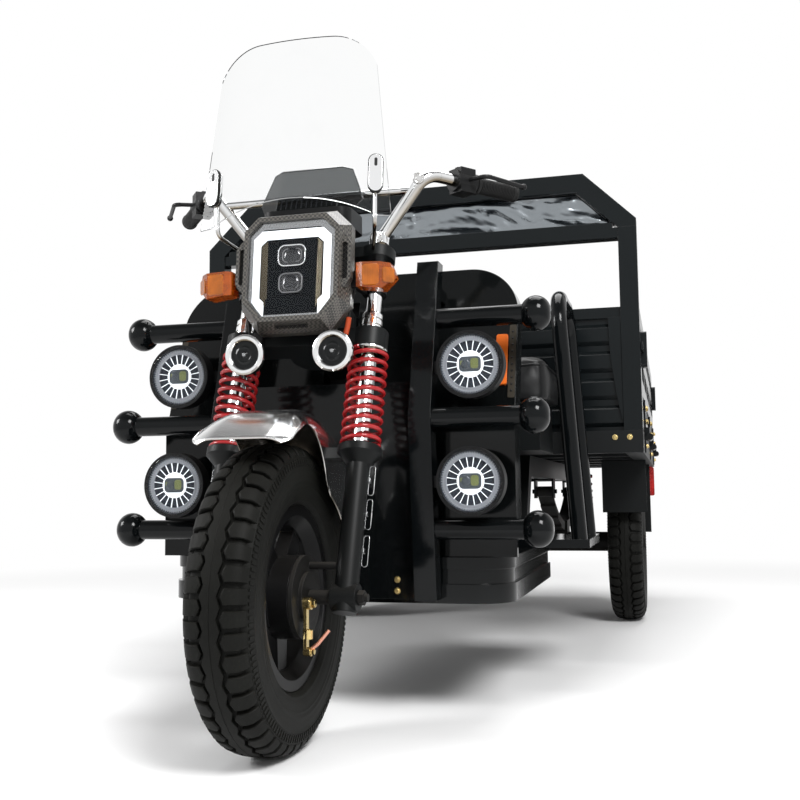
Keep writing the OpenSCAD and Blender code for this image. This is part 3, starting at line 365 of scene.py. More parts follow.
def rubber(name, color, rough=0.58, specular=0.18):
    m, t, s = newMaterial(name)
    where = objectSpace(t)
    bloom = ramp(t, noiseNode(t, where, 9, 6, 0.65), 0.35, 0.75)
    faded = mixColor(t, times(t, bloom, 0.5), color, scaled(color, 2, 0.002))
    scuffs = ramp(t, noiseNode(t, where, 240, 4, 0.7), 0.6, 0.75)
    scuffed = mixColor(t, times(t, scuffs, 0.35), faded, (0.035, 0.035, 0.031))
    dustOver(t, s, scuffed, 0.06, rough, Dust=(0.12, 0.11, 0.09))
    feed(t, s, {"Specular IOR Level": specular})
    height = plus(t, useGroup(t, "grain", Scale=520)[0], noiseNode(t, where, 60, 5, 0.6))
    addBump(t, s, height, 0.25, 0.0005)
    return m


def clearGlass(name, tint, glance=None, ior=1.3, single=False):
    m, t, s = newMaterial(name)
    smear = ramp(t, noiseNode(t, objectSpace(t), 10, 5, 0.6), 0.45, 0.8)
    tone = mixColor(t, times(t, smear, 0.25), tint, scaled(tint, 0.93))
    if glance:  # colour seen through at a slant
        slant = addNode(t, "LayerWeight", {"Blend": 0.5}).outputs["Facing"]
        tone = mixColor(t, ramp(t, slant, 0.22, 0.85), tone, glance)
    rough = plus(t, times(t, smear, 0.05), 0.02)
    feed(t, s, {"Base Color": tone, "Roughness": rough, "Transmission Weight": 1.0, "IOR": ior})
    rays = addNode(t, "LightPath").outputs  # lamps shine through, so what lies behind is lit evenly
    mirrored = rays["Is Glossy Ray"]
    if not single:  # a single sheet bends what is seen through it only once
        mirrored = mathNode(t, "SUBTRACT", mirrored, rays["Is Transmission Ray"], True)
    bounced = mathNode(t, "MAXIMUM", rays["Is Diffuse Ray"], mirrored)
    passing = mathNode(t, "MAXIMUM", rays["Is Shadow Ray"], bounced)
    through = addNode(t, "BsdfTransparent", {"Color": tuple(c ** 0.5 for c in tint)}).outputs[0]
    blend = addNode(t, "MixShader", {0: passing, 1: s.outputs[0], 2: through}).outputs[0]
    feed(t, t.nodes["Material Output"], {"Surface": blend})
    return m


def tintedLens(name, color, rough=0.1, clear=0.55):
    m, t, s = newMaterial(name)
    where = objectSpace(t)
    prisms = addNode(t, "TexWave", {"Scale": 95.0, "Vector": where}, bands_direction="X")
    cloud = ramp(t, noiseNode(t, where, 28, 3, 0.5), 0.3, 0.75)
    deep = mixColor(t, cloud, scaled(color, 0.72), scaled(color, 1.25, most=1))
    feed(t, s, {"Base Color": deep, "Roughness": rough, "Transmission Weight": clear})
    addBump(t, s, prisms.outputs["Fac"], 0.15, 0.0012)
    return m


# painted glow: a faint emission on unlit parts, painted light that keeps them pale behind glass
def paintedGlow(name, color, strength, rough=0.35):
    m, t, s = newMaterial(name)
    cloud = ramp(t, noiseNode(t, objectSpace(t), 120, 3, 0.5), 0.3, 0.8)
    tone = mixColor(t, cloud, scaled(color, 0.94), color)
    feed(t, s, {"Base Color": tone, "Roughness": rough})
    feed(t, s, {"Emission Color": tone, "Emission Strength": strength})
    return m


def carbonWeave(name, dark, light, cell):
    m, t, s = newMaterial(name)
    where = objectSpace(t)
    check = addNode(t, "TexChecker", {"Scale": 1 / cell, "Vector": where}).outputs["Fac"]
    fibre = addNode(t, "TexWave", {"Scale": 0.6 / cell, "Distortion": 0.5, "Vector": where}).outputs["Fac"]
    weave = mixColor(t, check, dark, light)
    dustOver(t, s, mixColor(t, times(t, fibre, 0.5), weave, scaled(dark, 0.5)), 0.05, 0.32)
    feed(t, s, {"Coat Weight": 0.2, "Coat Roughness": 0.3})
    addBump(t, s, check, 0.25, 0.0003)
    return m


finishes = {}
smooth = {"dust": 0.0, "edge": 0.0, "wave": 0.0}  # clean, sharp and even, as inside a lamp


def addFinish(make, name, *values, **settings):
    finishes[name] = make(name, *values, **settings)


addFinish(paint, "frameBlack", (0.0045, 0.0054, 0.0057), 0.4, specular=0.14)
addFinish(paint, "satinBlack", (0.004, 0.0045, 0.0046), 0.42, specular=0.14)
addFinish(paint, "glossBlack", (0.0028, 0.0034, 0.0036), 0.09, dust=0.025, specular=0.22, ripple=45)
addFinish(paint, "bumperBlack", (0.0024, 0.0031, 0.0035), 0.1, dust=0.02, specular=0.16)
addFinish(paint, "bedBlack", (0.0046, 0.0062, 0.0069), 0.18, dust=0.02, specular=0.16)
addFinish(paint, "deckBlack", (0.0055, 0.0064, 0.0068), 0.5, dust=0.1, edge=0.3, specular=0.15,
    ripple=70, wave=0.12)
addFinish(plastic, "plasticBlack", (0.0048, 0.0049, 0.0052), 0.42, dust=0.05, specular=0.17)
addFinish(paint, "axleIron", (0.0065, 0.0062, 0.0058), 0.55, dust=0.12, edge=0.4, specular=0.15)
addFinish(metal, "castAlloy", (0.22, 0.22, 0.225), 0.42, dust=0.25)
addFinish(paint, "springRed", (0.31, 0.012, 0.014), 0.22, dust=0.03, edge=0.0, specular=0.45)
# the last colour in each of the next two finishes is painted shade for faces turned to the ground
addFinish(metal, "chromePlate", (0.84, 0.845, 0.85), 0.04, haze=0.05, dust=0.02, under=(0.16, 0.13, 0.09))
addFinish(metal, "steelSheet", (0.86, 0.86, 0.86), 0.15, haze=0.08, dust=0.02, under=(0.14, 0.115, 0.085))
addFinish(metal, "goldZinc", (0.60, 0.46, 0.2), 0.22)
addFinish(paint, "rimBlack", (0.0042, 0.0042, 0.0044), 0.3, dust=0.04, specular=0.13)
addFinish(rubber, "tyreRubber", (0.0042, 0.0043, 0.0036), specular=0.1)
addFinish(rubber, "gripRubber", (0.006, 0.006, 0.006), 0.55)
addFinish(clearGlass, "screenClear", (0.965, 0.97, 0.97), glance=(0.40, 0.41, 0.41), ior=1.2)
addFinish(clearGlass, "lampClear", (0.97, 0.975, 0.98), ior=1.2, single=True)
addFinish(clearGlass, "lampDark", (0.32, 0.34, 0.36))
addFinish(clearGlass, "smokedClear", (0.15, 0.158, 0.16), glance=(0.05, 0.053, 0.055))
addFinish(tintedLens, "amberLens", (0.44, 0.085, 0.003))
addFinish(tintedLens, "amberBright", (0.56, 0.15, 0.006), 0.08, 0.45)
addFinish(tintedLens, "redLens", (0.5, 0.012, 0.01))
addFinish(plastic, "reflectorOrange", (0.68, 0.135, 0.016), 0.22, grain=900, dust=0.03, depth=0.1)
addFinish(plastic, "seatVinyl", (0.0075, 0.0078, 0.0082), 0.34, grain=420, depth=0.3, dust=0.04)
addFinish(paint, "rackVinyl", (0.008, 0.0105, 0.013), 0.18, dust=0.02, edge=0.0, specular=1.0,
    coat=1.0, wave=0.02)
addFinish(carbonWeave, "carbonSkin", (0.010, 0.0095, 0.0088), (0.115, 0.106, 0.092), 0.0046)
addFinish(paint, "lampInside", (0.004, 0.005, 0.0062), 0.4, specular=0.05, **smooth)
addFinish(paint, "lampGlassDark", (0.004, 0.005, 0.007), 0.04, specular=0.5, coat=0.6, **smooth)
addFinish(paint, "lampGlassGrey", (0.055, 0.065, 0.075), 0.2, specular=0.3, **smooth)
addFinish(paint, "dishGrey", (0.026, 0.031, 0.040), 0.4, specular=0.1, **smooth)
# the walls are real; their bronze tint is a painted reflection
addFinish(metal, "bronzeWall", (0.04, 0.034, 0.024), 0.3)
addFinish(metal, "silverBand", (0.34, 0.345, 0.35), 0.22)
addFinish(plastic, "stripBrown", (0.022, 0.017, 0.010), 0.5)
addFinish(plastic, "wireOrange", (0.36, 0.05, 0.014), 0.45)
# the next three finishes glow only as painted light; these parts are not lit
addFinish(paintedGlow, "milkWhite", (0.92, 0.95, 0.98), 0.55)
addFinish(paintedGlow, "frostRing", (0.26, 0.275, 0.30), 0.12, 0.3)
addFinish(paintedGlow, "phosphor", (0.13, 0.15, 0.045), 0.05)
addFinish(plastic, "buttonRed", (0.35, 0.012, 0.01), 0.35)
addFinish(metal, "copperStub", (0.62, 0.30, 0.22), 0.35)

# The rack cover's wet shine, with a painted blue tint in its reflection
cover = finishes["rackVinyl"].node_tree
feed(cover, cover.nodes["Principled BSDF"], {"IOR": 2.1, "Specular Tint": (0.86, 0.94, 1.0)})

# Finish of each slot, and of the nodes that differ from it
bySlot = {"frame_black": "frameBlack", "gloss_black": "glossBlack", "bumper_black": "bumperBlack",
    "bed_black": "bedBlack", "plastic_black": "plasticBlack", "lamp_clear": "lampClear",
    "lamp_dark": "lampDark", "lamp_red": "redLens", "amber": "amberLens", "seat_vinyl": "seatVinyl",
    "rack_vinyl": "rackVinyl", "axle_iron": "axleIron", "alloy": "castAlloy", "spring_red": "springRed",
    "chrome": "chromePlate", "zinc_gold": "goldZinc", "carbon": "carbonSkin", "smoked": "smokedClear",
    "grip_rubber": "gripRubber", "screen_clear": "screenClear", "tyre": "tyreRubber", "rim_black": "rimBlack"}
byNode = {"side_reflectors": "reflectorOrange", "fork_lower_legs": "satinBlack", "front_axle": "axleIron",
    "rear_mudguards": "frameBlack", "bed_floor": "deckBlack"}

for part in frame["record"]["subparts"]:
    obj = nodes[part["node"]]
    obj.data.materials.clear()
    obj.data.materials.append(finishes[byNode.get(part["node"], bySlot[part["material_slot"]])])
print("finishes on", len(nodes), "nodes")


# Curves and frames for the pieces

def smoothLine(points, steps):  # a curve through the points
    pts = [Vector(p) for p in points]
    out = []
    for i in range(len(pts) - 1):
        a, b = pts[max(i - 1, 0)], pts[i]
        c, d = pts[i + 1], pts[min(i + 2, len(pts) - 1)]
        for k in range(steps):
            t = k / steps
            out.append((b * 2 + (c - a) * t + (a * 2 - b * 5 + c * 4 - d) * t ** 2
                + (b * 3 - a - c * 3 + d) * t ** 3) / 2)
    out.append(pts[-1])
    return out


def shift(x, y, z):
    return Matrix.Translation(Vector((x, y, z)) * mm)


def facing(x, y, z, tip=0):  # a frame that looks forward: x to the left of the vehicle, y up, z ahead
    a = math.radians(tip)
    return frameAt(place(x, y, z), (0, -math.cos(a), math.sin(a)))


def roundBox(w, h, r, steps=6):
    out = []
    for k, (sx, sy) in enumerate(((1, 1), (-1, 1), (-1, -1), (1, -1))):
        for i in range(steps + 1):
            a = math.pi / 2 * (k + i / steps)
            out.append((sx * (w / 2 - r) + r * math.cos(a), sy * (h / 2 - r) + r * math.sin(a)))
    return out


def ringOf(pot, outer, inner, z0, z1, matrix):  # a flat ring between two outlines of equal count
    n = len(outer)
    verts = [(x, y, z) for z in (z0, z1) for loop in (outer, inner) for x, y in loop]
    faces = []
    for i in range(n):
        j = (i + 1) % n
        faces.append((2 * n + i, 2 * n + j, 3 * n + j, 3 * n + i))
        faces.append((i, n + i, n + j, j))
        faces.append((i, j, 2 * n + j, 2 * n + i))
        faces.append((n + i, 3 * n + i, 3 * n + j, n + j))
    pot.add(verts, faces, matrix)


def gridFaces(columns, rows):  # quads over a grid of points kept row by row
    return [(j * columns + i, j * columns + i + 1, (j + 1) * columns + i + 1, (j + 1) * columns + i)
        for j in range(rows - 1) for i in range(columns - 1)]


# Tyres with their road tread

tyreShape = {"pitches": 48, "depth": 9.0, "gap": 9.5, "band": (11.5, 17.5), "blockIn": 17.0, "point": 6.0,
    "blockOut": 67.0, "chamfer": 1.7, "bars": (69.0, 82.0), "barAngle": 0.0105, "barRise": 2.2,
    "bead": 125.3, "floorEnd": (57, 9),
    "stops": (0, 12, 22, 32, 42, 50, 57, 60, 63, 66, 70, 76, 82, 94, 102, 127, 134, 140, 152, 158),
    "columns": (-1, -0.91, -0.4, 0, 0.4, 0.91, 1), "rows": (0, 0.06, 0.25, 0.5, 0.75, 0.94, 1),
    "outline": ((-20, 1.3), (0, 0), (20, 1.3), (38, 4.7), (48, 11), (54, 22), (58, 42), (59, 63), (56, 88),
        (50, 104), (44, 110.5), (36, 112)),
    "rings": ((85, 1.6, 0.9), (110, 4, 1.1), (119, 1.5, 0.7), (146, 3, 1.6))}


def tyreSkin():  # place on the outline by the length along it from the crown
    line = smoothLine([(*p, 0) for p in tyreShape["outline"]], 12)[12:]
    runs = [0.0]
    normals = [Vector((0, -1, 0))]
    for a, b in zip(line, line[1:]):
        d = b - a
        runs.append(runs[-1] + d.length)
        normals.append(Vector((d.y, -d.x, 0)).normalized())

    def at(s, lift=0.0):
        side = -1 if s < 0 else 1
        s = min(abs(s), runs[-1])
        i = min(max(bisect.bisect_right(runs, s) - 1, 0), len(runs) - 2)
        f = (s - runs[i]) / (runs[i + 1] - runs[i])
        q = line[i].lerp(line[i + 1], f) + normals[i].lerp(normals[i + 1], f) * lift
        return side * q.x, tyreRadius - q.y

    return at, runs[-1]


def treadTyre(pot, matrix):
    at, whole = tyreSkin()
    q = tyreShape
    depth = q["depth"]
    pitch = 2 * math.pi / q["pitches"]
    half = pitch / 2 - q["gap"] / 2 / tyreRadius

    def spot(s, angle, lift):
        x, r = at(s, lift)
        return r * math.cos(angle), r * math.sin(angle), x

    def block(sOf, angleOf, columns, rows, height, sink, chamfer):
        nu, nv = len(columns), len(rows)
        grid = [(u, v) for v in rows for u in columns]
        rim = list(range(nu)) + [j * nu + nu - 1 for j in range(1, nv)]
        rim += [(nv - 1) * nu + i for i in range(nu - 2, -1, -1)] + [j * nu for j in range(nv - 2, 0, -1)]
        low = set(rim)
        verts = [spot(sOf(u, v), angleOf(u, v), height - (chamfer if k in low else 0))
            for k, (u, v) in enumerate(grid)]
        faces = gridFaces(nu, nv)
        base = len(verts)
        verts += [spot(sOf(*grid[k]), angleOf(*grid[k]), -sink) for k in rim]
        for k in range(len(rim)):
            j = (k + 1) % len(rim)
            faces.append((rim[k], base + k, base + j, rim[j]))
        pot.add(verts, faces, matrix)

    def floorLift(s):
        s = abs(s)
        start, run = q["floorEnd"]
        lift = -depth * (1 - min(max((s - start) / run, 0), 1))
        for middle, width, height in q["rings"]:
            lift += height * max(0, 1 - abs(s - middle) / width)
        return lift

    stops = {*q["stops"], whole}
    for middle, width, height in q["rings"]:
        stops |= {middle + width * f for f in (-1, -0.3, 0.3, 1)}
    stops = sorted(stops)
    profile = [at(s, floorLift(s))[::-1] for s in [-v for v in stops[:0:-1]] + stops]
    bead = tyreRadius - q["bead"]
    pot.lathe([(bead, profile[0][1])] + profile + [(bead, profile[-1][1])], matrix, 144, True)

    for side in (-1, 1):
        for k in range(q["pitches"]):
            middle = (k + (0.25 if side > 0 else 0.75)) * pitch
            block(lambda u, v: side * ((q["blockIn"] + q["point"] * abs(u)) * (1 - v) + q["blockOut"] * v),
                lambda u, v: middle + u * half, q["columns"], q["rows"], 0, depth + 1, q["chamfer"])
            for b in (-1, 0, 1):
                s0, s1 = q["bars"]
                block(lambda u, v: side * (s0 + (s1 - s0) * v),
                    lambda u, v: middle + b * pitch / 3 + u * q["barAngle"],
                    (-1, 1), (0, 1), q["barRise"], 1, 0.5)

    across = ((-1, -depth - 1), (-1, -0.9), (-0.93, 0), (-0.5, 0), (-0.07, 0), (0, -0.9), (0.07, 0), (0.5, 0),
        (0.93, 0), (1, -0.9), (1, -depth - 1))
    steps = q["pitches"] * 4
    verts = []
    for k in range(steps):
        for f, lift in across:
            wave = 1 - abs(((k / 4 - (0.25 if f > 0 else 0.75)) % 1) * 2 - 1)
            edge = q["band"][0] + (q["band"][1] - q["band"][0]) * wave
            verts.append(spot(f * edge, k * pitch / 4, lift))
    n = len(across)
    faces = [(k * n + i, ((k + 1) % steps) * n + i, ((k + 1) % steps) * n + i + 1, k * n + i + 1)
        for k in range(steps) for i in range(n - 1)]
    pot.add(verts, faces, matrix)


def makeTyres():
    treads = {"frontTread": "front", "rearLeftTread": "rear_left", "rearRightTread": "rear_right"}
    for name, side in treads.items():
        joint = joints["front_wheel_spin" if side == "front" else side + "_spin"]
        pot = Pot()
        treadTyre(pot, frameAt(Vector(joint["pos_m"]), (1, 0, 0), (0, 0, 1)))
        pot.make(name, "tyreRubber", side + "_wheel", "tyre", [side + "_tyre"])


makeTyres()
print("tyres made")

# Fork springs and collars

springShape = {"leg": 135, "seat": 286, "length": 206, "outer": 80, "wire": 8.5, "turns": 10.7,
    "flat": 0.035, "clear": 0.3, "steps": 460}
collarShape = {"at": 532, "profile": ((16.8, 0), (22, 0), (22.5, 1.5), (22.5, 10), (20.5, 11), (20.5, 13),
    (22, 14), (22, 24), (20.2, 25), (20.2, 27), (21.6, 28), (21.6, 38), (19, 42), (16.8, 42))}
ringShape = {"at": 486, "profile": ((17, 0), (36, 0), (37.5, 1.5), (37.5, 4.5), (36, 6), (17, 6))}


def makeSprings():
    q = springShape
    r = (q["outer"] - q["wire"]) / 2
    base = q["seat"] + q["wire"] / 2 + q["clear"]
    height = q["length"] - q["wire"] - 2 * q["clear"]
    pot = Pot()
    for side in (-1, 1):
        points = []
        for k in range(q["steps"] + 1):
            f = k / q["steps"]
            rise = min(max((f - q["flat"]) / (1 - 2 * q["flat"]), 0), 1)
            a = 2 * math.pi * q["turns"] * f
            points.append((side * q["leg"] + r * math.cos(a), side * r * math.sin(a), base + height * rise))
        pot.tube(points, q["wire"] / 2, 14, forkFrame)
    pot.make("forkSpringCoils", "springRed", "fork", "spring_red", ["fork_springs"])
    pot = Pot()
    for side in (-1, 1):
        for shape in (collarShape, ringShape):
            pot.lathe(shape["profile"], forkFrame @ shift(side * q["leg"], 0, shape["at"]), 48, True)
    pot.make("forkCollars", "chromePlate", "fork", "chrome")


makeSprings()

# Headlamp: dark reflector, white light guide, two projectors, mesh in the vents, clear cover

headShape = {"at": (0, 78, 904), "tip": 6, "lens": (180, 196), "coverAt": (-3, -4.6), "floor": -11.9,
    "guide": {"outer": ((58, -94), (70, -80), (81, -65), (81, 64), (64, 80)),
        "inner": ((56.5, -94), (56.5, -66), (66, -57), (66, 50), (53, 62))},
    "steps": (((-50, 57), (50, 57), (46, 1), (-47, 1)), ((-49, -3), (48, -3), (44, -55), (-46, -55)),
        ((-54, -59), (49, -59), (45, -94), (-53, -94))),
    "projectors": ((0, 27, 58, 44, 14), (-1, -29, 50, 41, 13)),
    "wall": ((50, -84, -11.4), (63, -56, -6.6), (64, 48, -6.6), (52, 60, -11.4)),
    "stepTops": (-9.8, -10.3, -9.8),
    "guideRows": ((0.0, -11.2), (0.0, -7.5), (0.18, -6.2), (0.82, -6.2), (1.0, -7.5), (1.0, -11.2)),
    "eye": ((0, -5.6), (6, -5.9), (11, -6.8), (15, -8.4), (16.5, -9.4)),
    "vents": ((107, 11, 11.6, 73.6, 16), (-107, 11, 11.6, 73.6, 16), (0, -114.5, 67.6, 8.6, 19.5)),
    "frameDepth": (-10.4, -7.0), "innerDepth": (-10.4, -8.8), "glassDepth": (-10.6, -9.2),
    "bandDepth": (-11.4, -8.2), "bandInner": (165, 186), "wallBack": -11.6,
    "mesh": 4.4, "meshWire": 0.55, "meshScan": 0.9}


def octagon(w, h):
    x, z = w / 2, h / 2
    return [(-x * 0.66, -z), (x * 0.66, -z), (x, -z * 0.6), (x, z * 0.74), (x * 0.72, z), (-x * 0.72, z),
        (-x, z * 0.74), (-x, -z * 0.6)]


def makeHeadlamp():
    q = headShape
    m = facing(*q["at"], q["tip"])
    w, h = q["lens"]
    pot = Pot()
    pot.prism(octagon(w - 1, h - 1), q["floor"], q["floor"] + 0.6, m)
    for outline, top in zip(q["steps"], q["stepTops"]):
        pot.prism(outline, q["floor"] + 0.4, top, m, 0.8)
    pot.make("headReflector", "lampInside", "fork", "lamp_dark")

    pot = Pot()
    g = q["guide"]
    rings = [[(-x, y) for x, y in g[k]] + [(x, y) for x, y in reversed(g[k])] for k in ("outer", "inner")]
    n = len(rings[0])
    rows = []
    for f, z in q["guideRows"]:
        rows.append([(o[0] + (i[0] - o[0]) * f, o[1] + (i[1] - o[1]) * f, z) for o, i in zip(*rings)])
    verts = [v for row in rows for v in row]
    faces = gridFaces(n, len(rows))
    faces.append(tuple(j * n for j in range(len(rows))))
    faces.append(tuple(j * n + n - 1 for j in range(len(rows) - 1, -1, -1)))
    pot.add(verts, faces, m)
    pot.make("headLightGuide", "milkWhite", "fork", "lamp_clear")

    frames, lowFrames, eyes = Pot(), Pot(), Pot()
    for k, (x, y, wide, tall, r) in enumerate(q["projectors"]):
        at = m @ shift(x, y, 0)
        pot = lowFrames if k else frames
        ringOf(pot, roundBox(wide, tall, r), roundBox(wide - 4.4, tall - 4.4, r - 2.2), *q["frameDepth"], at)
        ringOf(lowFrames, roundBox(wide - 18, tall - 16, r - 5), roundBox(wide - 21, tall - 19, r - 6),
            *q["innerDepth"], at)
        eyes.prism(roundBox(wide - 4.6, tall - 4.6, r - 2.3), *q["glassDepth"], at)
        eyes.lathe(q["eye"], at, 40)
    band = Pot()
    outer = octagon(w - 1, h - 1)
    inner = [(x, y - (10 if y > 0 else -1)) for x, y in octagon(*q["bandInner"])]
    ringOf(band, outer, inner, *q["bandDepth"], m)
    band.make("headInnerBand", "silverBand", "fork", "chrome")
    frames.make("projectorFrames", "chromePlate", "fork", "chrome")
    lowFrames.make("lowerFrames", "castAlloy", "fork", "alloy")
    eyes.make("projectorEyes", "lampGlassDark", "fork", "lamp_dark")
    # inner side walls, tinted bronze as a painted reflection
    walls = Pot()
    for s in (-1, 1):
        verts = [(s * x, y, z) for x, y, z in q["wall"]]
        verts += [(s * x, y, q["wallBack"]) for x, y, z in q["wall"]]
        faces = [(0, 1, 2, 3), (7, 6, 5, 4)] + [(k, k + 4, (k + 1) % 4 + 4, (k + 1) % 4) for k in range(4)]
        walls.add(verts, faces, m)
    walls.make("headSideWalls", "bronzeWall", "fork", "lamp_dark")

    cover = Pot()
    z1, z0 = q["coverAt"]
    cover.prism(octagon(w - 0.4, h - 0.4), z0, z1, m)
    cover.make("headCover", "lampClear", "fork", "lamp_dark", ["headlamp_lens"])

    mesh = Pot()
    step = q["mesh"]
    for x, y, wide, tall, deep in q["vents"]:
        at = m @ shift(x, y, -deep)
        span = int((wide + tall) / step)
        for k in range(-span, span + 1):
            for s in (-1, 1):
                ends = []
                for t in range(-60, 61):
                    py = t * q["meshScan"]
                    px = k * step + s * py
                    if abs(px) < wide / 2 and abs(py) < tall / 2:
                        ends.append((px, py))
                if len(ends) > 3:
                    mesh.tube([(*ends[0], 0.3 * s), (*ends[-1], 0.3 * s)], q["meshWire"], 5, at)
    mesh.make("headVentMesh", "plasticBlack", "fork", "plastic_black")


makeHeadlamp()

# Horns: pressed bowl, bright ring, ridged diaphragm and its screw

hornShape = {"at": ((90, 66, 734), (-90, 66, 734)),
    "bowl": ((0, -57), (11, -57), (11, -33), (29, -33), (36, -11.5), (39, -11), (39, -2), (0, -2)),
    "ring": ((27, -1.8), (40, -1.8), (40.5, -0.5), (39.5, 2.4), (36, 4.4), (31, 4.2), (28, 2), (27, 0)),
    "face": ((0, 2.2), (5, 2.2), (6.5, 1), (12, 1.6), (15, 3), (18, 1.4), (22, 0.4), (27.2, 0.4),
        (27.2, -1.7), (0, -1.7)),
    "screw": ((0, 4.6), (3.4, 4.4), (4, 3.4), (4, 2), (0, 2)),
    "strapAt": (90, -32), "strap": (20, 8, 1), "strapEnds": (444, 528)}


def makeHorns():
    q = hornShape
    bowls, rings, faces, screws = Pot(), Pot(), Pot(), Pot()
    for at in q["at"]:
        m = facing(*at)
        bowls.lathe(q["bowl"], m, 48)
        rings.lathe(q["ring"], m, 64, True)
        faces.lathe(q["face"], m, 64)
        screws.lathe(q["screw"], m, 20)
        x, y = q["strapAt"]
        bowls.prism(roundBox(*q["strap"]), *q["strapEnds"], forkFrame @ shift(math.copysign(x, at[0]), y, 0))
    bowls.make("hornBowls", "plasticBlack", "fork", "plastic_black", ["horns"])
    rings.make("hornRings", "chromePlate", "fork", "chrome")
    faces.make("hornFaces", "glossBlack", "fork", "gloss_black")
    screws.make("hornScrews", "silverBand", "fork", "chrome")


makeHorns()

# Four bumper lamps: grey dish, white fins and hub, frosted ring, clear cover

ledShape = {"at": ((321, 222.2, 485), (-321, 222.2, 485), (321, 240.2, 720), (-321, 240.2, 720)),
    "dish": ((0, -9.6), (48, -9.6), (50, -8.2), (58.4, -5), (60, -2), (60.6, -2), (60.6, -9.9), (0, -9.9)),
    "back": -9.4, "fins": 20, "fin": (27, 48, 0.95, -6.2), "window": (45, 31, 9), "windowTop": -4.4,
    "hub": ((0, -9.4), (27.5, -9.4), (27.5, -6.5), (26, -5), (0, -5)),
    "eyeAt": -9, "eye": ((0, -2.6), (5, -2.8), (8, -3.5), (9.5, -4.5)),
    "chips": ((9, 1, 16, 21, 5, 4), (-17, 3, 6, 8, 1.5, 3)), "chipDepth": (-4.6, -4.1),
    "ticks": 72, "tick": ((49, -0.9), (60, -1.2), (60, 1.2), (49, 0.9)), "tickTops": (-4.0, -4.6),
    "ring": ((47.8, -8), (47.8, -3.6), (49, -3.2), (50, -3.6), (50, -6.2), (60, -5.6), (60, -8)),
    "cover": ((0, 2.4), (36.48, 2.2), (58.8, 1.7), (63.2, 1.2), (64.2, 0.7), (64.2, 0.15), (60.2, 0.15),
        (60.2, -1.5), (57.8, -0.6), (36.48, 0.4), (0, 0.6))}


def makeLeds():
    q = ledShape
    dishes, whites, eyes, chips, rings, covers = Pot(), Pot(), Pot(), Pot(), Pot(), Pot()
    for at in q["at"]:
        m = facing(*at)
        dishes.lathe(q["dish"], m, 64)
        r0, r1, wide, top = q["fin"]
        for k in range(q["fins"]):
            turn = Matrix.Rotation(2 * math.pi * (k + 0.5) / q["fins"], 4, "Z")
            outline = [(r0, -wide / 2), (r1, -wide * 0.8), (r1, wide * 0.8), (r0, wide / 2)]
            whites.prism(outline, q["back"], top, m @ turn)
        whites.lathe(q["hub"], m, 64)
        eyes.prism(roundBox(*q["window"]), -9, q["windowTop"], m)
        eyes.lathe(q["eye"], m @ shift(q["eyeAt"], 0, 0), 32)
        for x, y, *outline in q["chips"]:
            chips.prism(roundBox(*outline), *q["chipDepth"], m @ shift(x, y, 0), 0.3)
        for k in range(q["ticks"]):
            turn = Matrix.Rotation(2 * math.pi * k / q["ticks"], 4, "Z")
            rings.prism(q["tick"], -7, q["tickTops"][k % 2], m @ turn)
        rings.lathe(q["ring"], m, 72)
        covers.lathe(q["cover"], m, 72)
    dishes.make("ledDishes", "dishGrey", "chassis", "plastic_black")
    whites.make("ledFins", "milkWhite", "chassis", "lamp_clear")
    eyes.make("ledEyes", "lampGlassGrey", "chassis", "lamp_clear")
    chips.make("ledChips", "phosphor", "chassis", "lamp_clear")
    rings.make("ledOuterRings", "frostRing", "chassis", "lamp_clear")
    covers.make("ledCovers", "lampClear", "chassis", "lamp_clear", ["led_lenses"])


makeLeds()
print("lamps made")

# Handlebar: ribbed grips, end caps, switch buttons

gripShape = {"tip": (388, 424, 1116), "knee": (238, 232, 1116), "radius": 17.5, "ribs": 22,
    "ribbed": (6, 102), "groove": 1.3, "end": ((0, -6), (15, -6), (18.5, -4.5), (18.8, -1), (17.5, 1)),
    "collar": ((17.5, 104), (21.5, 106), (22, 109), (21.5, 113), (17, 115.8), (12.7, 115.8), (12.7, 60))}
buttonShape = {"along": (-12, 0, 12), "middle": 144, "outline": (9, 12, 2.5, 4), "heights": (26, 29.5)}
capShape = {"at": ((135, 221, 988), (226, 219, 1104)), "axis": (0.25, -0.95, -0.15),
    "profile": ((0, 5), (6, 5), (6.4, 3.6), (8.6, 3.6), (9.2, 5), (11, 5), (12, 4), (12, 0), (0, 0))}


def barFrame(side):  # z from the bar's outer end towards its knee, y outward and ahead
    (ex, ey, ez), (kx, ky, kz) = gripShape["tip"], gripShape["knee"]
    a, b = place(side * ex, ey, ez), place(side * kx, ky, kz)
    return frameAt(a, b - a, (0, 0, -1))


def makeBars():
    q = gripShape
    low, high = q["ribbed"]
    step = (high - low) / q["ribs"]
    r0, r1 = q["radius"], q["radius"] - q["groove"]
    profile = list(q["end"])
    for k in range(q["ribs"]):
        z = low + k * step
        profile += [(r0, z), (r0, z + step * 0.55), (r1, z + step * 0.65), (r1, z + step * 0.92)]
    profile += q["collar"]
    grips, caps, buttons, reds = Pot(), Pot(), Pot(), Pot()
    for side in (-1, 1):
        m = barFrame(side)
        grips.lathe(profile, m, 40)
        b = buttonShape
        for k, u in enumerate(b["along"]):
            pot = reds if k == 0 else buttons
            top = m @ shift(0, 0, b["middle"] + u) @ Matrix.Rotation(-math.pi / 2, 4, "Y")
            pot.prism(roundBox(*b["outline"]), *b["heights"], top, 0.8)
        ax, ay, az = capShape["axis"]
        for x, y, z in capShape["at"]:
            caps.lathe(capShape["profile"], frameAt(place(side * x, y, z), (side * ax, ay, az)), 32)
    grips.make("ribbedGrips", "gripRubber", "fork", "grip_rubber", ["grips"])
    caps.make("barCaps", "chromePlate", "fork", "chrome")
    buttons.make("switchButtons", "plasticBlack", "fork", "plastic_black")
    reds.make("stopButtons", "buttonRed", "fork", "lamp_red")


makeBars()
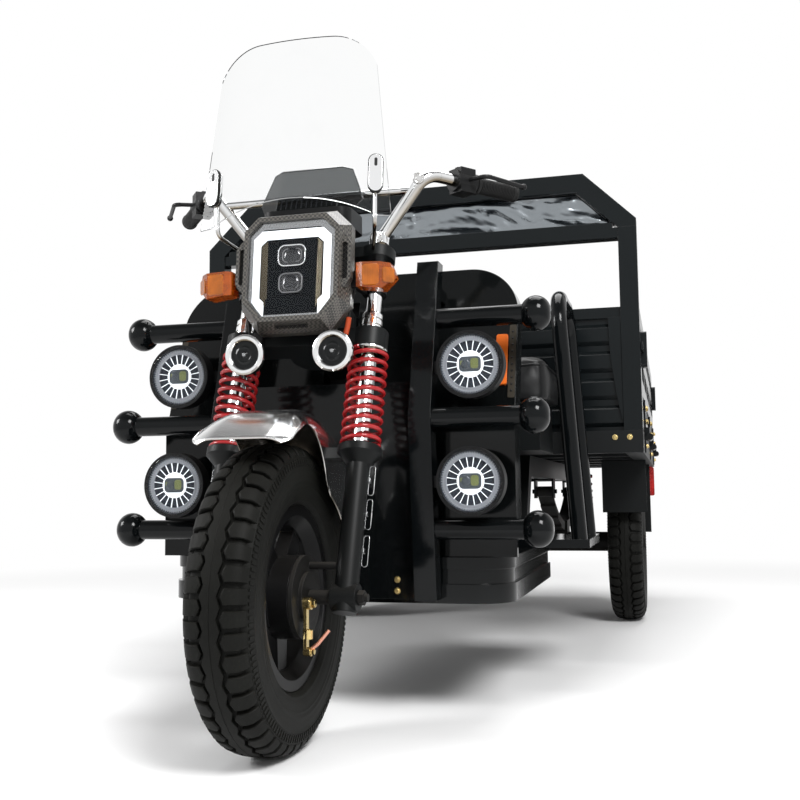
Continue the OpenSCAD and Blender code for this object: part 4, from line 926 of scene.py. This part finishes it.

# Deflector ribs and a painted highlight along its edge, fork hose guides, screen stay gaskets, brake rod

ribShape = {"at": (0, 166, 1042), "tip": 24, "count": 11, "step": 11, "tall": 34, "wide": 2.2,
    "up": 6, "depth": (-0.2, 1.1), "highlightWide": 1.9,
    "edge": ((-111, 38, -25.7), (-86, 108, -12.4), (-66, 108, -1.6), (66, 108, -1.6), (86, 108, -12.4),
        (111, 38, -25.7))}
guideShape = {"at": (161, 10), "size": (11, 58, 5), "wire": 0.9, "heights": (88, 158, 224),
    "footAt": (156, 9), "foot": (7, 9, 1), "footTall": 8}
stayShape = {"foot": (0, 62, 1000), "lean": 7, "radius": 600, "x": 170, "up": 85,
    "gasket": ((30, 80, 14.9), (26.2, 76.2, 13)), "gasketDepth": (0.3, 4.2),
    "slot": (6, 17, 2.9), "slotDepth": (5.5, 6.6), "slotUp": 22}
rodShape = {"rod": ((76, -29, 187), (92, -26, 200), (108, -14, 222)), "wide": 3.4,
    "nuts": ((80, -30, 270, 13, 8), (80, -30, 186, 9, 6)), "sleeveAt": (74, -30, 216),
    "sleeve": ((6, -8), (9, -8), (9, 8), (6, 8))}


def makeForkTrim():
    q = ribShape
    m = facing(*q["at"], q["tip"])
    pot = Pot()
    for k in range(q["count"]):
        x = (k - (q["count"] - 1) / 2) * q["step"]
        at = m @ shift(x, q["up"] + q["tall"] / 2, 0)
        pot.prism(roundBox(q["wide"], q["tall"], 1.0, 3), *q["depth"], at, 0.5)
    pot.make("deflectorRibs", "lampGlassDark", "fork", "plastic_black")
    # painted highlight: a silver tube along the smoked deflector's top edge
    pot = Pot()
    pot.tube(q["edge"], q["highlightWide"], 8, m)
    pot.make("deflectorEdgeHighlight", "silverBand", "fork", "smoked")
    pot = Pot()
    q = guideShape
    loop = [(x, 0, y) for x, y in roundBox(*q["size"])]
    for side in (-1, 1):
        for z in q["heights"]:
            x, y = q["at"]
            pot.tube(loop + loop[:1], q["wire"], 8, forkFrame @ shift(side * x, y, z), False)
            x, y = q["footAt"]
            half = q["footTall"] / 2
            pot.prism(roundBox(*q["foot"]), z - half, z + half, forkFrame @ shift(side * x, y, 0))
    pot.make("hoseGuides", "silverBand", "fork", "chrome")
    rims, slots = Pot(), Pot()
    q = stayShape
    lean, turn = math.radians(q["lean"]), math.asin(q["x"] / q["radius"])
    tilt = Matrix.Rotation(-lean, 4, "X")
    for side in (-1, 1):
        out = tilt @ Vector((side * math.sin(turn), -math.cos(turn), 0))
        at = tilt @ Vector((side * q["x"], q["radius"] * (1 - math.cos(turn)), q["up"]))
        m = frameAt(place(*(Vector(q["foot"]) + at)), out)
        ringOf(rims, *(roundBox(*size) for size in q["gasket"]), *q["gasketDepth"], m)
        slots.prism(roundBox(*q["slot"]), *q["slotDepth"], m @ shift(0, q["slotUp"], 0))
    rims.make("stayGaskets", "gripRubber", "fork", "grip_rubber")
    slots.make("staySlots", "plasticBlack", "fork", "plastic_black")
    pot = Pot()
    pot.tube([place(*p) / mm for p in rodShape["rod"]], rodShape["wide"], 12)
    pot.make("cableStub", "copperStub", "fork", "zinc_gold")
    pot = Pot()
    for x, y, z, size, head in rodShape["nuts"]:
        pot.bolt(place(x, y, z), (1, 0, 0), size, head)
    pot.lathe(rodShape["sleeve"], frameAt(place(*rodShape["sleeveAt"]), (0, 0, 1)), 24, True)
    pot.make("brakeArmNuts", "goldZinc", "fork", "zinc_gold")


makeForkTrim()

# Signal lens panels, dotted strips beside the reflectors, horn leads

signalShape = {"front": (161, 84, 880.5), "panel": (34, 42, 6), "side": (193.5, 97, 880),
    "sidePanel": (27, 30, 5), "turn": 46, "depth": (0.05, 2.0), "chamfer": 1.5}
stripShape = {"at": (386.5, 330, 600), "tip": 19, "size": (15, 172, 3), "depth": (0.05, 1.2), "middle": 148,
    "dots": 10, "pitch": 15.5, "dot": ((0, 1.5), (2.2, 1.45), (2.8, 1.2), (0, 1.2))}
leadShape = {"cable": ((118, 124, 866), (110, 126, 835), (104, 121, 795), (98, 116, 765), (92, 108, 746)),
    "sleeve": ((105.5, 122, 806), (103, 120.5, 788), (100, 117.5, 772)),
    "wide": {"cable": 2.6, "sleeve": 5.4}}


def makeSmallTrim():
    panels, strips, dots, cables, sleeves = Pot(), Pot(), Pot(), Pot(), Pot()
    for side in (-1, 1):
        q = signalShape
        x, y, z = q["front"]
        panels.prism(roundBox(*q["panel"]), *q["depth"], facing(side * x, y, z), q["chamfer"])
        x, y, z = q["side"]
        a = math.radians(q["turn"])
        m = frameAt(place(side * x, y, z), (side * math.sin(a), -math.cos(a), 0))
        panels.prism(roundBox(*q["sidePanel"]), *q["depth"], m, q["chamfer"])
        q = stripShape
        x, y, z = q["at"]
        m = facing(side * x, y, z, q["tip"])
        strips.prism(roundBox(*q["size"]), *q["depth"], m @ shift(0, q["middle"], 0), 0.4)
        for k in range(q["dots"]):
            rise = q["middle"] + (k - (q["dots"] - 1) / 2) * q["pitch"]
            dots.lathe(q["dot"], m @ shift(0, rise, 0), 12)
        leads = {"cable": cables}
        if side > 0:  # only the left lead has a sleeve
            leads["sleeve"] = sleeves
        for key, pot in leads.items():
            line = smoothLine([(side * x, y, z) for x, y, z in leadShape[key]], 8)
            pot.tube([place(*p) / mm for p in line], leadShape["wide"][key], 10)
    panels.make("signalPanels", "amberBright", "fork", "amber")
    strips.make("trimStrips", "stripBrown", "chassis", "plastic_black")
    dots.make("trimDots", "plasticBlack", "chassis", "plastic_black")
    cables.make("hornLeads", "gripRubber", "fork", "grip_rubber")
    sleeves.make("hornSleeves", "wireOrange", "fork", "amber")


makeSmallTrim()
print("bars and fork trim made")

# Front mudguard: one polished sheet, arched over the tyre and spread flat into a wide lip ahead

guardShape = {"ahead": 31, "behind": 50, "lipFrom": 27, "crown": 46, "thick": 2.4, "bead": 2.1,
    "rows": 84, "columns": 26, "blur": {"radius": 6, "depth": 5, "half": 2.5},
    "depth": ((31, 9), (22.7, 12), (8.1, 24.7), (-1.3, 45.5), (-8.2, 75.6), (-14.6, 107), (-18, 128),
        (-50, 130)),
    "radius": ((31, 325), (24, 331), (16, 337), (8, 339), (0, 337), (-10, 331), (-20, 326), (-50, 326)),
    "half": ((31, 76), (29.8, 86), (28, 91), (22, 92), (14, 87), (8, 80), (-50, 80))}


def tableAt(table, at):  # straight steps between (angle, value) rows that run downward
    for (a0, v0), (a1, v1) in zip(table, table[1:]):
        if at >= a1:
            f = (a0 - at) / (a0 - a1)
            return v0 + (v1 - v0) * f
    return table[-1][1]


def smoothTable(table, at, width):
    spots = [max(min(at + d * width, table[0][0]), table[-1][0]) for d in (-1, -0.5, 0, 0.5, 1)]
    return sum(tableAt(table, s) for s in spots) / len(spots)


def makeMudguard():
    q = guardShape
    rows, columns = q["rows"], q["columns"]
    verts = []
    for j in range(rows + 1):
        f = j / rows
        angle = q["ahead"] - (q["ahead"] + q["behind"]) * f
        crest, depth, half = (smoothTable(q[k], angle, q["blur"][k]) for k in ("radius", "depth", "half"))
        if angle > q["lipFrom"]:
            half = tableAt(q["half"], angle)
        reach = half - q["crown"]
        bend = min(2 * math.atan(depth / reach), math.pi / 2)
        curl = reach / math.sin(bend)
        arc = curl * bend
        flank = max(0.0, depth - curl) if bend > 1.5 else 0.0
        total = q["crown"] + arc + flank
        a = math.radians(angle)
        for i in range(-columns, columns + 1):
            s = abs(i) / columns * total
            if s < q["crown"]:
                x, drop = s, 0.0
            elif s < q["crown"] + arc:
                b = (s - q["crown"]) / curl
                x, drop = q["crown"] + curl * math.sin(b), curl * (1 - math.cos(b))
            else:
                x, drop = half, depth - (total - s)
            d = crest - drop
            verts.append(((x if i >= 0 else -x), -d * math.sin(a), d * math.cos(a)))
    n = 2 * columns + 1
    m = Matrix.Translation(frontAxle)
    pot = Pot()
    pot.add(verts, gridFaces(n, rows + 1), m)
    obj = pot.make("polishedMudguard", "steelSheet", "fork", "chrome", ["front_mudguard"], 60)
    sheet = obj.modifiers.new("thickness", "SOLIDIFY")
    sheet.thickness = q["thick"] * mm
    sheet.offset = 0
    rim = [verts[i] for i in range(n)] + [verts[j * n + n - 1] for j in range(1, rows + 1)]
    rim += [verts[rows * n + i] for i in range(n - 2, -1, -1)]
    rim += [verts[j * n] for j in range(rows - 1, 0, -1)]
    pot = Pot()
    pot.tube(rim + rim[:2], q["bead"], 8, m, False)
    pot.make("mudguardBead", "steelSheet", "fork", "chrome")


makeMudguard()
print("mudguard made")

# Rack cover: black vinyl stretched across the headboard

vinylShape = {"y": 1077, "low": 1200.4, "high": 1293.6, "halfLow": 570.9, "halfHigh": 474.6,
    "columns": 180, "rows": 20, "lean": 0.9, "wrinkle": 0.6, "thick": 1.2, "fold": 13.0, "crease": 3.2,
    "waves": ((0.0085, 0.021, 1.7), (0.021, 0.026, 5.1), (0.05, 0.06, 9.4))}


def makeRackVinyl():
    q = vinylShape
    nu, nv = q["columns"], q["rows"]
    verts = []
    for j in range(nv + 1):
        v = j / nv
        half = q["halfLow"] + (q["halfHigh"] - q["halfLow"]) * v
        z = q["low"] + (q["high"] - q["low"]) * v
        for i in range(nu + 1):
            u = 2 * i / nu - 1
            x = u * half
            hold = min(1, 4.5 * v, 4.5 * (1 - v), 14 * (1 - abs(u)))
            slant = x + (z - q["low"]) * (q["lean"] if x > 0 else -q["lean"])
            broad, ridge, fine = (noise.noise(Vector((slant * a, z * b, c))) for a, b, c in q["waves"])
            push = q["fold"] * broad + q["crease"] * (1 - abs(ridge) * 2) + q["wrinkle"] * (1 - abs(fine) * 2)
            verts.append((x, q["y"] - hold * push, z))
    pot = Pot()
    pot.add(verts, gridFaces(nu + 1, nv + 1), Matrix.Translation(place(0, 0, 0)))
    obj = pot.make("rackVinyl", "rackVinyl", "chassis", "rack_vinyl", ["rack_sheet"], 80)
    thick = obj.modifiers.new("thickness", "SOLIDIFY")
    thick.thickness = q["thick"] * mm
    thick.offset = 0


makeRackVinyl()

# Seat: cushion and backrest stuffed by a cloth simulation, then piped along a seam

seatShape = {"voxel": 0.006, "frames": 20, "cap": 0.010, "soften": 6, "fill": 0.8, "cushionHeld": 0.012,
    "backHeld": 0.010, "piping": 3.2, "stitch": 0.012, "corner": 42, "seamOut": 4, "seamDown": 0.012,
    "seamBack": 0.008}
clothShape = {"quality": 6, "mass": 0.4, "tension_stiffness": 12, "compression_stiffness": 12,
    "shear_stiffness": 8, "bending_stiffness": 0.6, "use_pressure": True, "uniform_pressure_force": 4.0,
    "vertex_group_mass": "held"}


def stuffed(name, node, held, fill):
    obj = bpy.data.objects.new(name, nodes[node].data.copy())
    bpy.context.scene.collection.objects.link(obj)
    bpy.context.view_layer.objects.active = obj
    remesh = obj.modifiers.new("voxels", "REMESH")
    remesh.mode = "VOXEL"
    remesh.voxel_size = seatShape["voxel"]
    bpy.ops.object.modifier_apply(modifier="voxels")
    rest = [v.co.copy() for v in obj.data.vertices]
    pins = obj.vertex_groups.new(name="held")
    pins.add([v.index for v in obj.data.vertices if held(v.co)], 1.0, "REPLACE")
    cloth = obj.modifiers.new("cloth", "CLOTH")
    for key, value in clothShape.items():
        setattr(cloth.settings, key, value)
    cloth.settings.effector_weights.gravity = 0
    cloth.collision_settings.use_collision = False
    scene = bpy.context.scene
    for f in range(1, seatShape["frames"] + 1):
        scene.frame_set(f)
    grown = obj.evaluated_get(bpy.context.evaluated_depsgraph_get()).data
    moved = [v.co.copy() for v in grown.vertices]
    obj.modifiers.remove(cloth)
    scene.frame_set(1)
    cap = seatShape["cap"]
    for v, a, b in zip(obj.data.vertices, rest, moved):
        d = b - a
        v.co = a + d * (min(1, cap / d.length) if d.length > 1e-9 else 0)
    soft = obj.modifiers.new("soften", "SMOOTH")
    soft.iterations = seatShape["soften"]
    bpy.ops.object.modifier_apply(modifier="soften")
    divide = obj.modifiers.new("finer", "SUBSURF")
    divide.levels = divide.render_levels = 1
    bpy.ops.object.modifier_apply(modifier="finer")
    dress(obj, "seatVinyl", "chassis", [node], 80)
    return obj


def piping(name, obj, loop):  # a raised seam laid on the cushion along a loop
    fine = []
    for a, b in zip(loop, loop[1:] + loop[:1]):
        n = max(1, int((b - a).length / seatShape["stitch"]))
        fine += [a.lerp(b, k / n) for k in range(n)]
    bpy.context.view_layer.update()
    tree = BVHTree.FromObject(obj, bpy.context.evaluated_depsgraph_get())
    points = [tree.find_nearest(p)[0] / mm for p in fine]
    pot = Pot()
    pot.tube(points + points[:2], seatShape["piping"], 10, None, False)
    pot.make(name, "seatVinyl", "chassis", "seat_vinyl")


def makeSeat():
    q = seatShape

    def seam(wide, tall):
        return roundBox(wide / mm + q["seamOut"], tall / mm + q["seamOut"], q["corner"], 12)

    low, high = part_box("seat_cushion")
    cushion = stuffed("seatPad", "seat_cushion", lambda p: p.z < low.z + q["cushionHeld"], q["fill"])
    mid, size = (low + high) / 2, high - low
    loop = [Vector((mid.x + x * mm, mid.y + y * mm, high.z - q["seamDown"])) for x, y in seam(size.x, size.y)]
    piping("seatPiping", cushion, loop)
    low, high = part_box("seat_backrest")
    back = stuffed("backPad", "seat_backrest", lambda p: p.y > high.y - q["backHeld"], q["fill"])
    mid, size = (low + high) / 2, high - low
    loop = [Vector((mid.x + x * mm, low.y + q["seamBack"], mid.z + z * mm)) for x, z in seam(size.x, size.z)]
    piping("backPiping", back, loop)


makeSeat()
print("soft pieces made")

# Sloped flanks of the pressed ribs in the bed's front wall

ribFlank = {"face": 1060, "panel": 1070.5, "rise": 12,
    "rows": ((647.5, 683.5), (722.5, 758.5), (797.5, 833.5), (872.5, 908.5))}


def makeRibFlanks():
    q = ribFlank
    low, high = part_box("bed_front_wall")
    half = (high.x - low.x) / 2 / mm - 0.5
    pot = Pot()
    for z0, z1 in q["rows"]:
        for z, up in ((z1, 1), (z0, -1)):
            corners = [(q["face"], z), (q["panel"], z - up * 0.5), (q["panel"], z + up * q["rise"])]
            verts = [place(x, y, k) / mm for x in (-half, half) for y, k in corners]
            pot.add(verts, [(0, 1, 2), (3, 5, 4), (0, 3, 4, 1), (1, 4, 5, 2), (2, 5, 3, 0)])
    pot.make("wallRibFlanks", "bedBlack", "chassis", "bed_black")


makeRibFlanks()

# Fixings: gold bolts on the bed beam, the hinges and the plate

boltRows = {"beam": ((562, 1050, 607), (601, 1050, 607), (-562, 1050, 607), (-601, 1050, 607)),
    "hingeY": (1255, 1950, 2645), "hingeX": (-380, 380), "spread": (-24, 24), "floorZ": 590,
    "leafZ": (660, 698), "gateX": 640, "tailY": 2854, "plate": ((150, 300, 262), (150, 300, 285)),
    "size": (9, 5), "small": (8, 5)}


def makeBolts():
    q = boltRows
    gold, tail = Pot(), Pot()
    sides = {"left_side": (1, Pot()), "right_side": (-1, Pot())}
    for p in q["beam"]:
        gold.bolt(place(*p), (0, -1, 0), *q["size"])
    for body, (side, pot) in sides.items():
        for y in (hinge + d for hinge in q["hingeY"] for d in q["spread"]):
            gold.bolt(place(side * q["gateX"], y, q["floorZ"]), (side, 0, 0), *q["size"])
            for z in q["leafZ"]:
                pot.bolt(place(side * (q["gateX"] + 1), y, z), (side, 0, 0), *q["size"])
        pot.make("hingeBolts" + body[0].upper(), "goldZinc", body, "zinc_gold")
    for x in (hinge + d for hinge in q["hingeX"] for d in q["spread"]):
        gold.bolt(place(x, q["tailY"], q["floorZ"]), (0, 1, 0), *q["size"])
        for z in q["leafZ"]:
            tail.bolt(place(x, q["tailY"] + 1, z), (0, 1, 0), *q["size"])
    tail.make("tailHingeBolts", "goldZinc", "tail", "zinc_gold")
    for s in (-1, 1):
        for x, y, z in q["plate"]:
            gold.bolt(place(s * x, y, z), (0, -1, 0), *q["small"])
    gold.make("frameBolts", "goldZinc", "chassis", "zinc_gold")


makeBolts()
print("fixings made")


# Stage, light and camera

studio = {"floorSize": 60.0, "floorTone": 0.9, "fade": (1.8, 4.5), "roomLight": 0.42, "ceiling": 0.2,
    "overhead": (0.5, 0.9)}


def paleRays(tree):  # rays that see the white room: straight, mirrored or through glass
    rays = addNode(tree, "LightPath").outputs
    bent = mathNode(tree, "MAXIMUM", rays["Is Glossy Ray"], rays["Is Transmission Ray"])
    return mathNode(tree, "MAXIMUM", rays["Is Camera Ray"], bent)


def makeStage():
    bpy.ops.mesh.primitive_plane_add(size=studio["floorSize"], location=(0, 0, 0))
    floor = bpy.context.object
    floor.name = "studioFloor"
    m, t, s = newMaterial("studioFloor")
    t.nodes.remove(s)
    where = addNode(t, "NewGeometry").outputs["Position"]
    away = addNode(t, "VectorMath", {0: where}, operation="LENGTH").outputs["Value"]
    far = times(t, paleRays(t), ramp(t, away, *studio["fade"]))
    cloth = addNode(t, "BsdfDiffuse", {"Color": (studio["floorTone"],) * 3}).outputs[0]
    white = addNode(t, "Emission", {"Strength": 1.0}).outputs[0]
    blend = addNode(t, "MixShader", {0: far, 1: cloth, 2: white}).outputs[0]
    feed(t, t.nodes["Material Output"], {"Surface": blend})
    floor.data.materials.append(m)

    world = bpy.data.worlds.new("studioRoom")
    bpy.context.scene.world = world
    world.use_nodes = True
    w = world.node_tree
    rise = upPart(w, addNode(w, "TexCoord").outputs["Generated"])
    dim = times(w, ramp(w, rise, *studio["overhead"]), 1 - studio["ceiling"])
    top = mathNode(w, "SUBTRACT", 1.0, dim)
    level = addNode(w, "MapRange", {"Value": paleRays(w), "To Min": studio["roomLight"], "To Max": top})
    feed(w, w.nodes["Background"], {"Color": (1, 1, 1), "Strength": level.outputs[0]})


lamps = {
    "keyLamp": {"at": (2.2, -3.4, 3.2), "aim": (0, -0.6, 0.7), "size": 1.4, "power": 190},
    "fillLamp": {"at": (-3.2, -2.2, 2.2), "aim": (0, -0.6, 0.6), "size": 1.2, "power": 90},
    "topLamp": {"at": (0.2, 0.6, 4.4), "aim": (0, 0.2, 0.6), "size": 3.0, "power": 150},
}


def makeLamps():
    for name, lamp in lamps.items():
        data = bpy.data.lights.new(name, "AREA")
        data.shape = "SQUARE"
        data.size = lamp["size"]
        data.energy = lamp["power"]
        obj = bpy.data.objects.new(name, data)
        bpy.context.scene.collection.objects.link(obj)
        at = Vector(lamp["at"])
        obj.matrix_world = frameAt(at, at - Vector(lamp["aim"]))


shot = {"from": (702.6, -1749.5, 462.6), "yaw": 14.83, "pitch": 5.25, "roll": -0.65, "lens": 45.65}


def makeCamera():
    yaw, pitch, roll = (math.radians(shot[k]) for k in ("yaw", "pitch", "roll"))
    ahead = Vector((-math.sin(yaw) * math.cos(pitch), math.cos(yaw) * math.cos(pitch), math.sin(pitch)))
    right = Vector((math.cos(yaw), math.sin(yaw), 0))
    up = right.cross(ahead)
    leanRight = right * math.cos(roll) + up * math.sin(roll)
    leanUp = up * math.cos(roll) - right * math.sin(roll)
    data = bpy.data.cameras.new("photoCamera")
    data.sensor_width = 36.0
    data.sensor_fit = "HORIZONTAL"
    data.lens = shot["lens"]
    obj = bpy.data.objects.new("photoCamera", data)
    m = Matrix((leanRight, leanUp, -ahead)).transposed().to_4x4()
    m.translation = place(*shot["from"])
    obj.matrix_world = m
    bpy.context.scene.collection.objects.link(obj)
    bpy.context.scene.camera = obj


makeStage()
makeLamps()
makeCamera()
bpy.context.scene.view_settings.view_transform = "Standard"
print("stage, lamps and camera set")
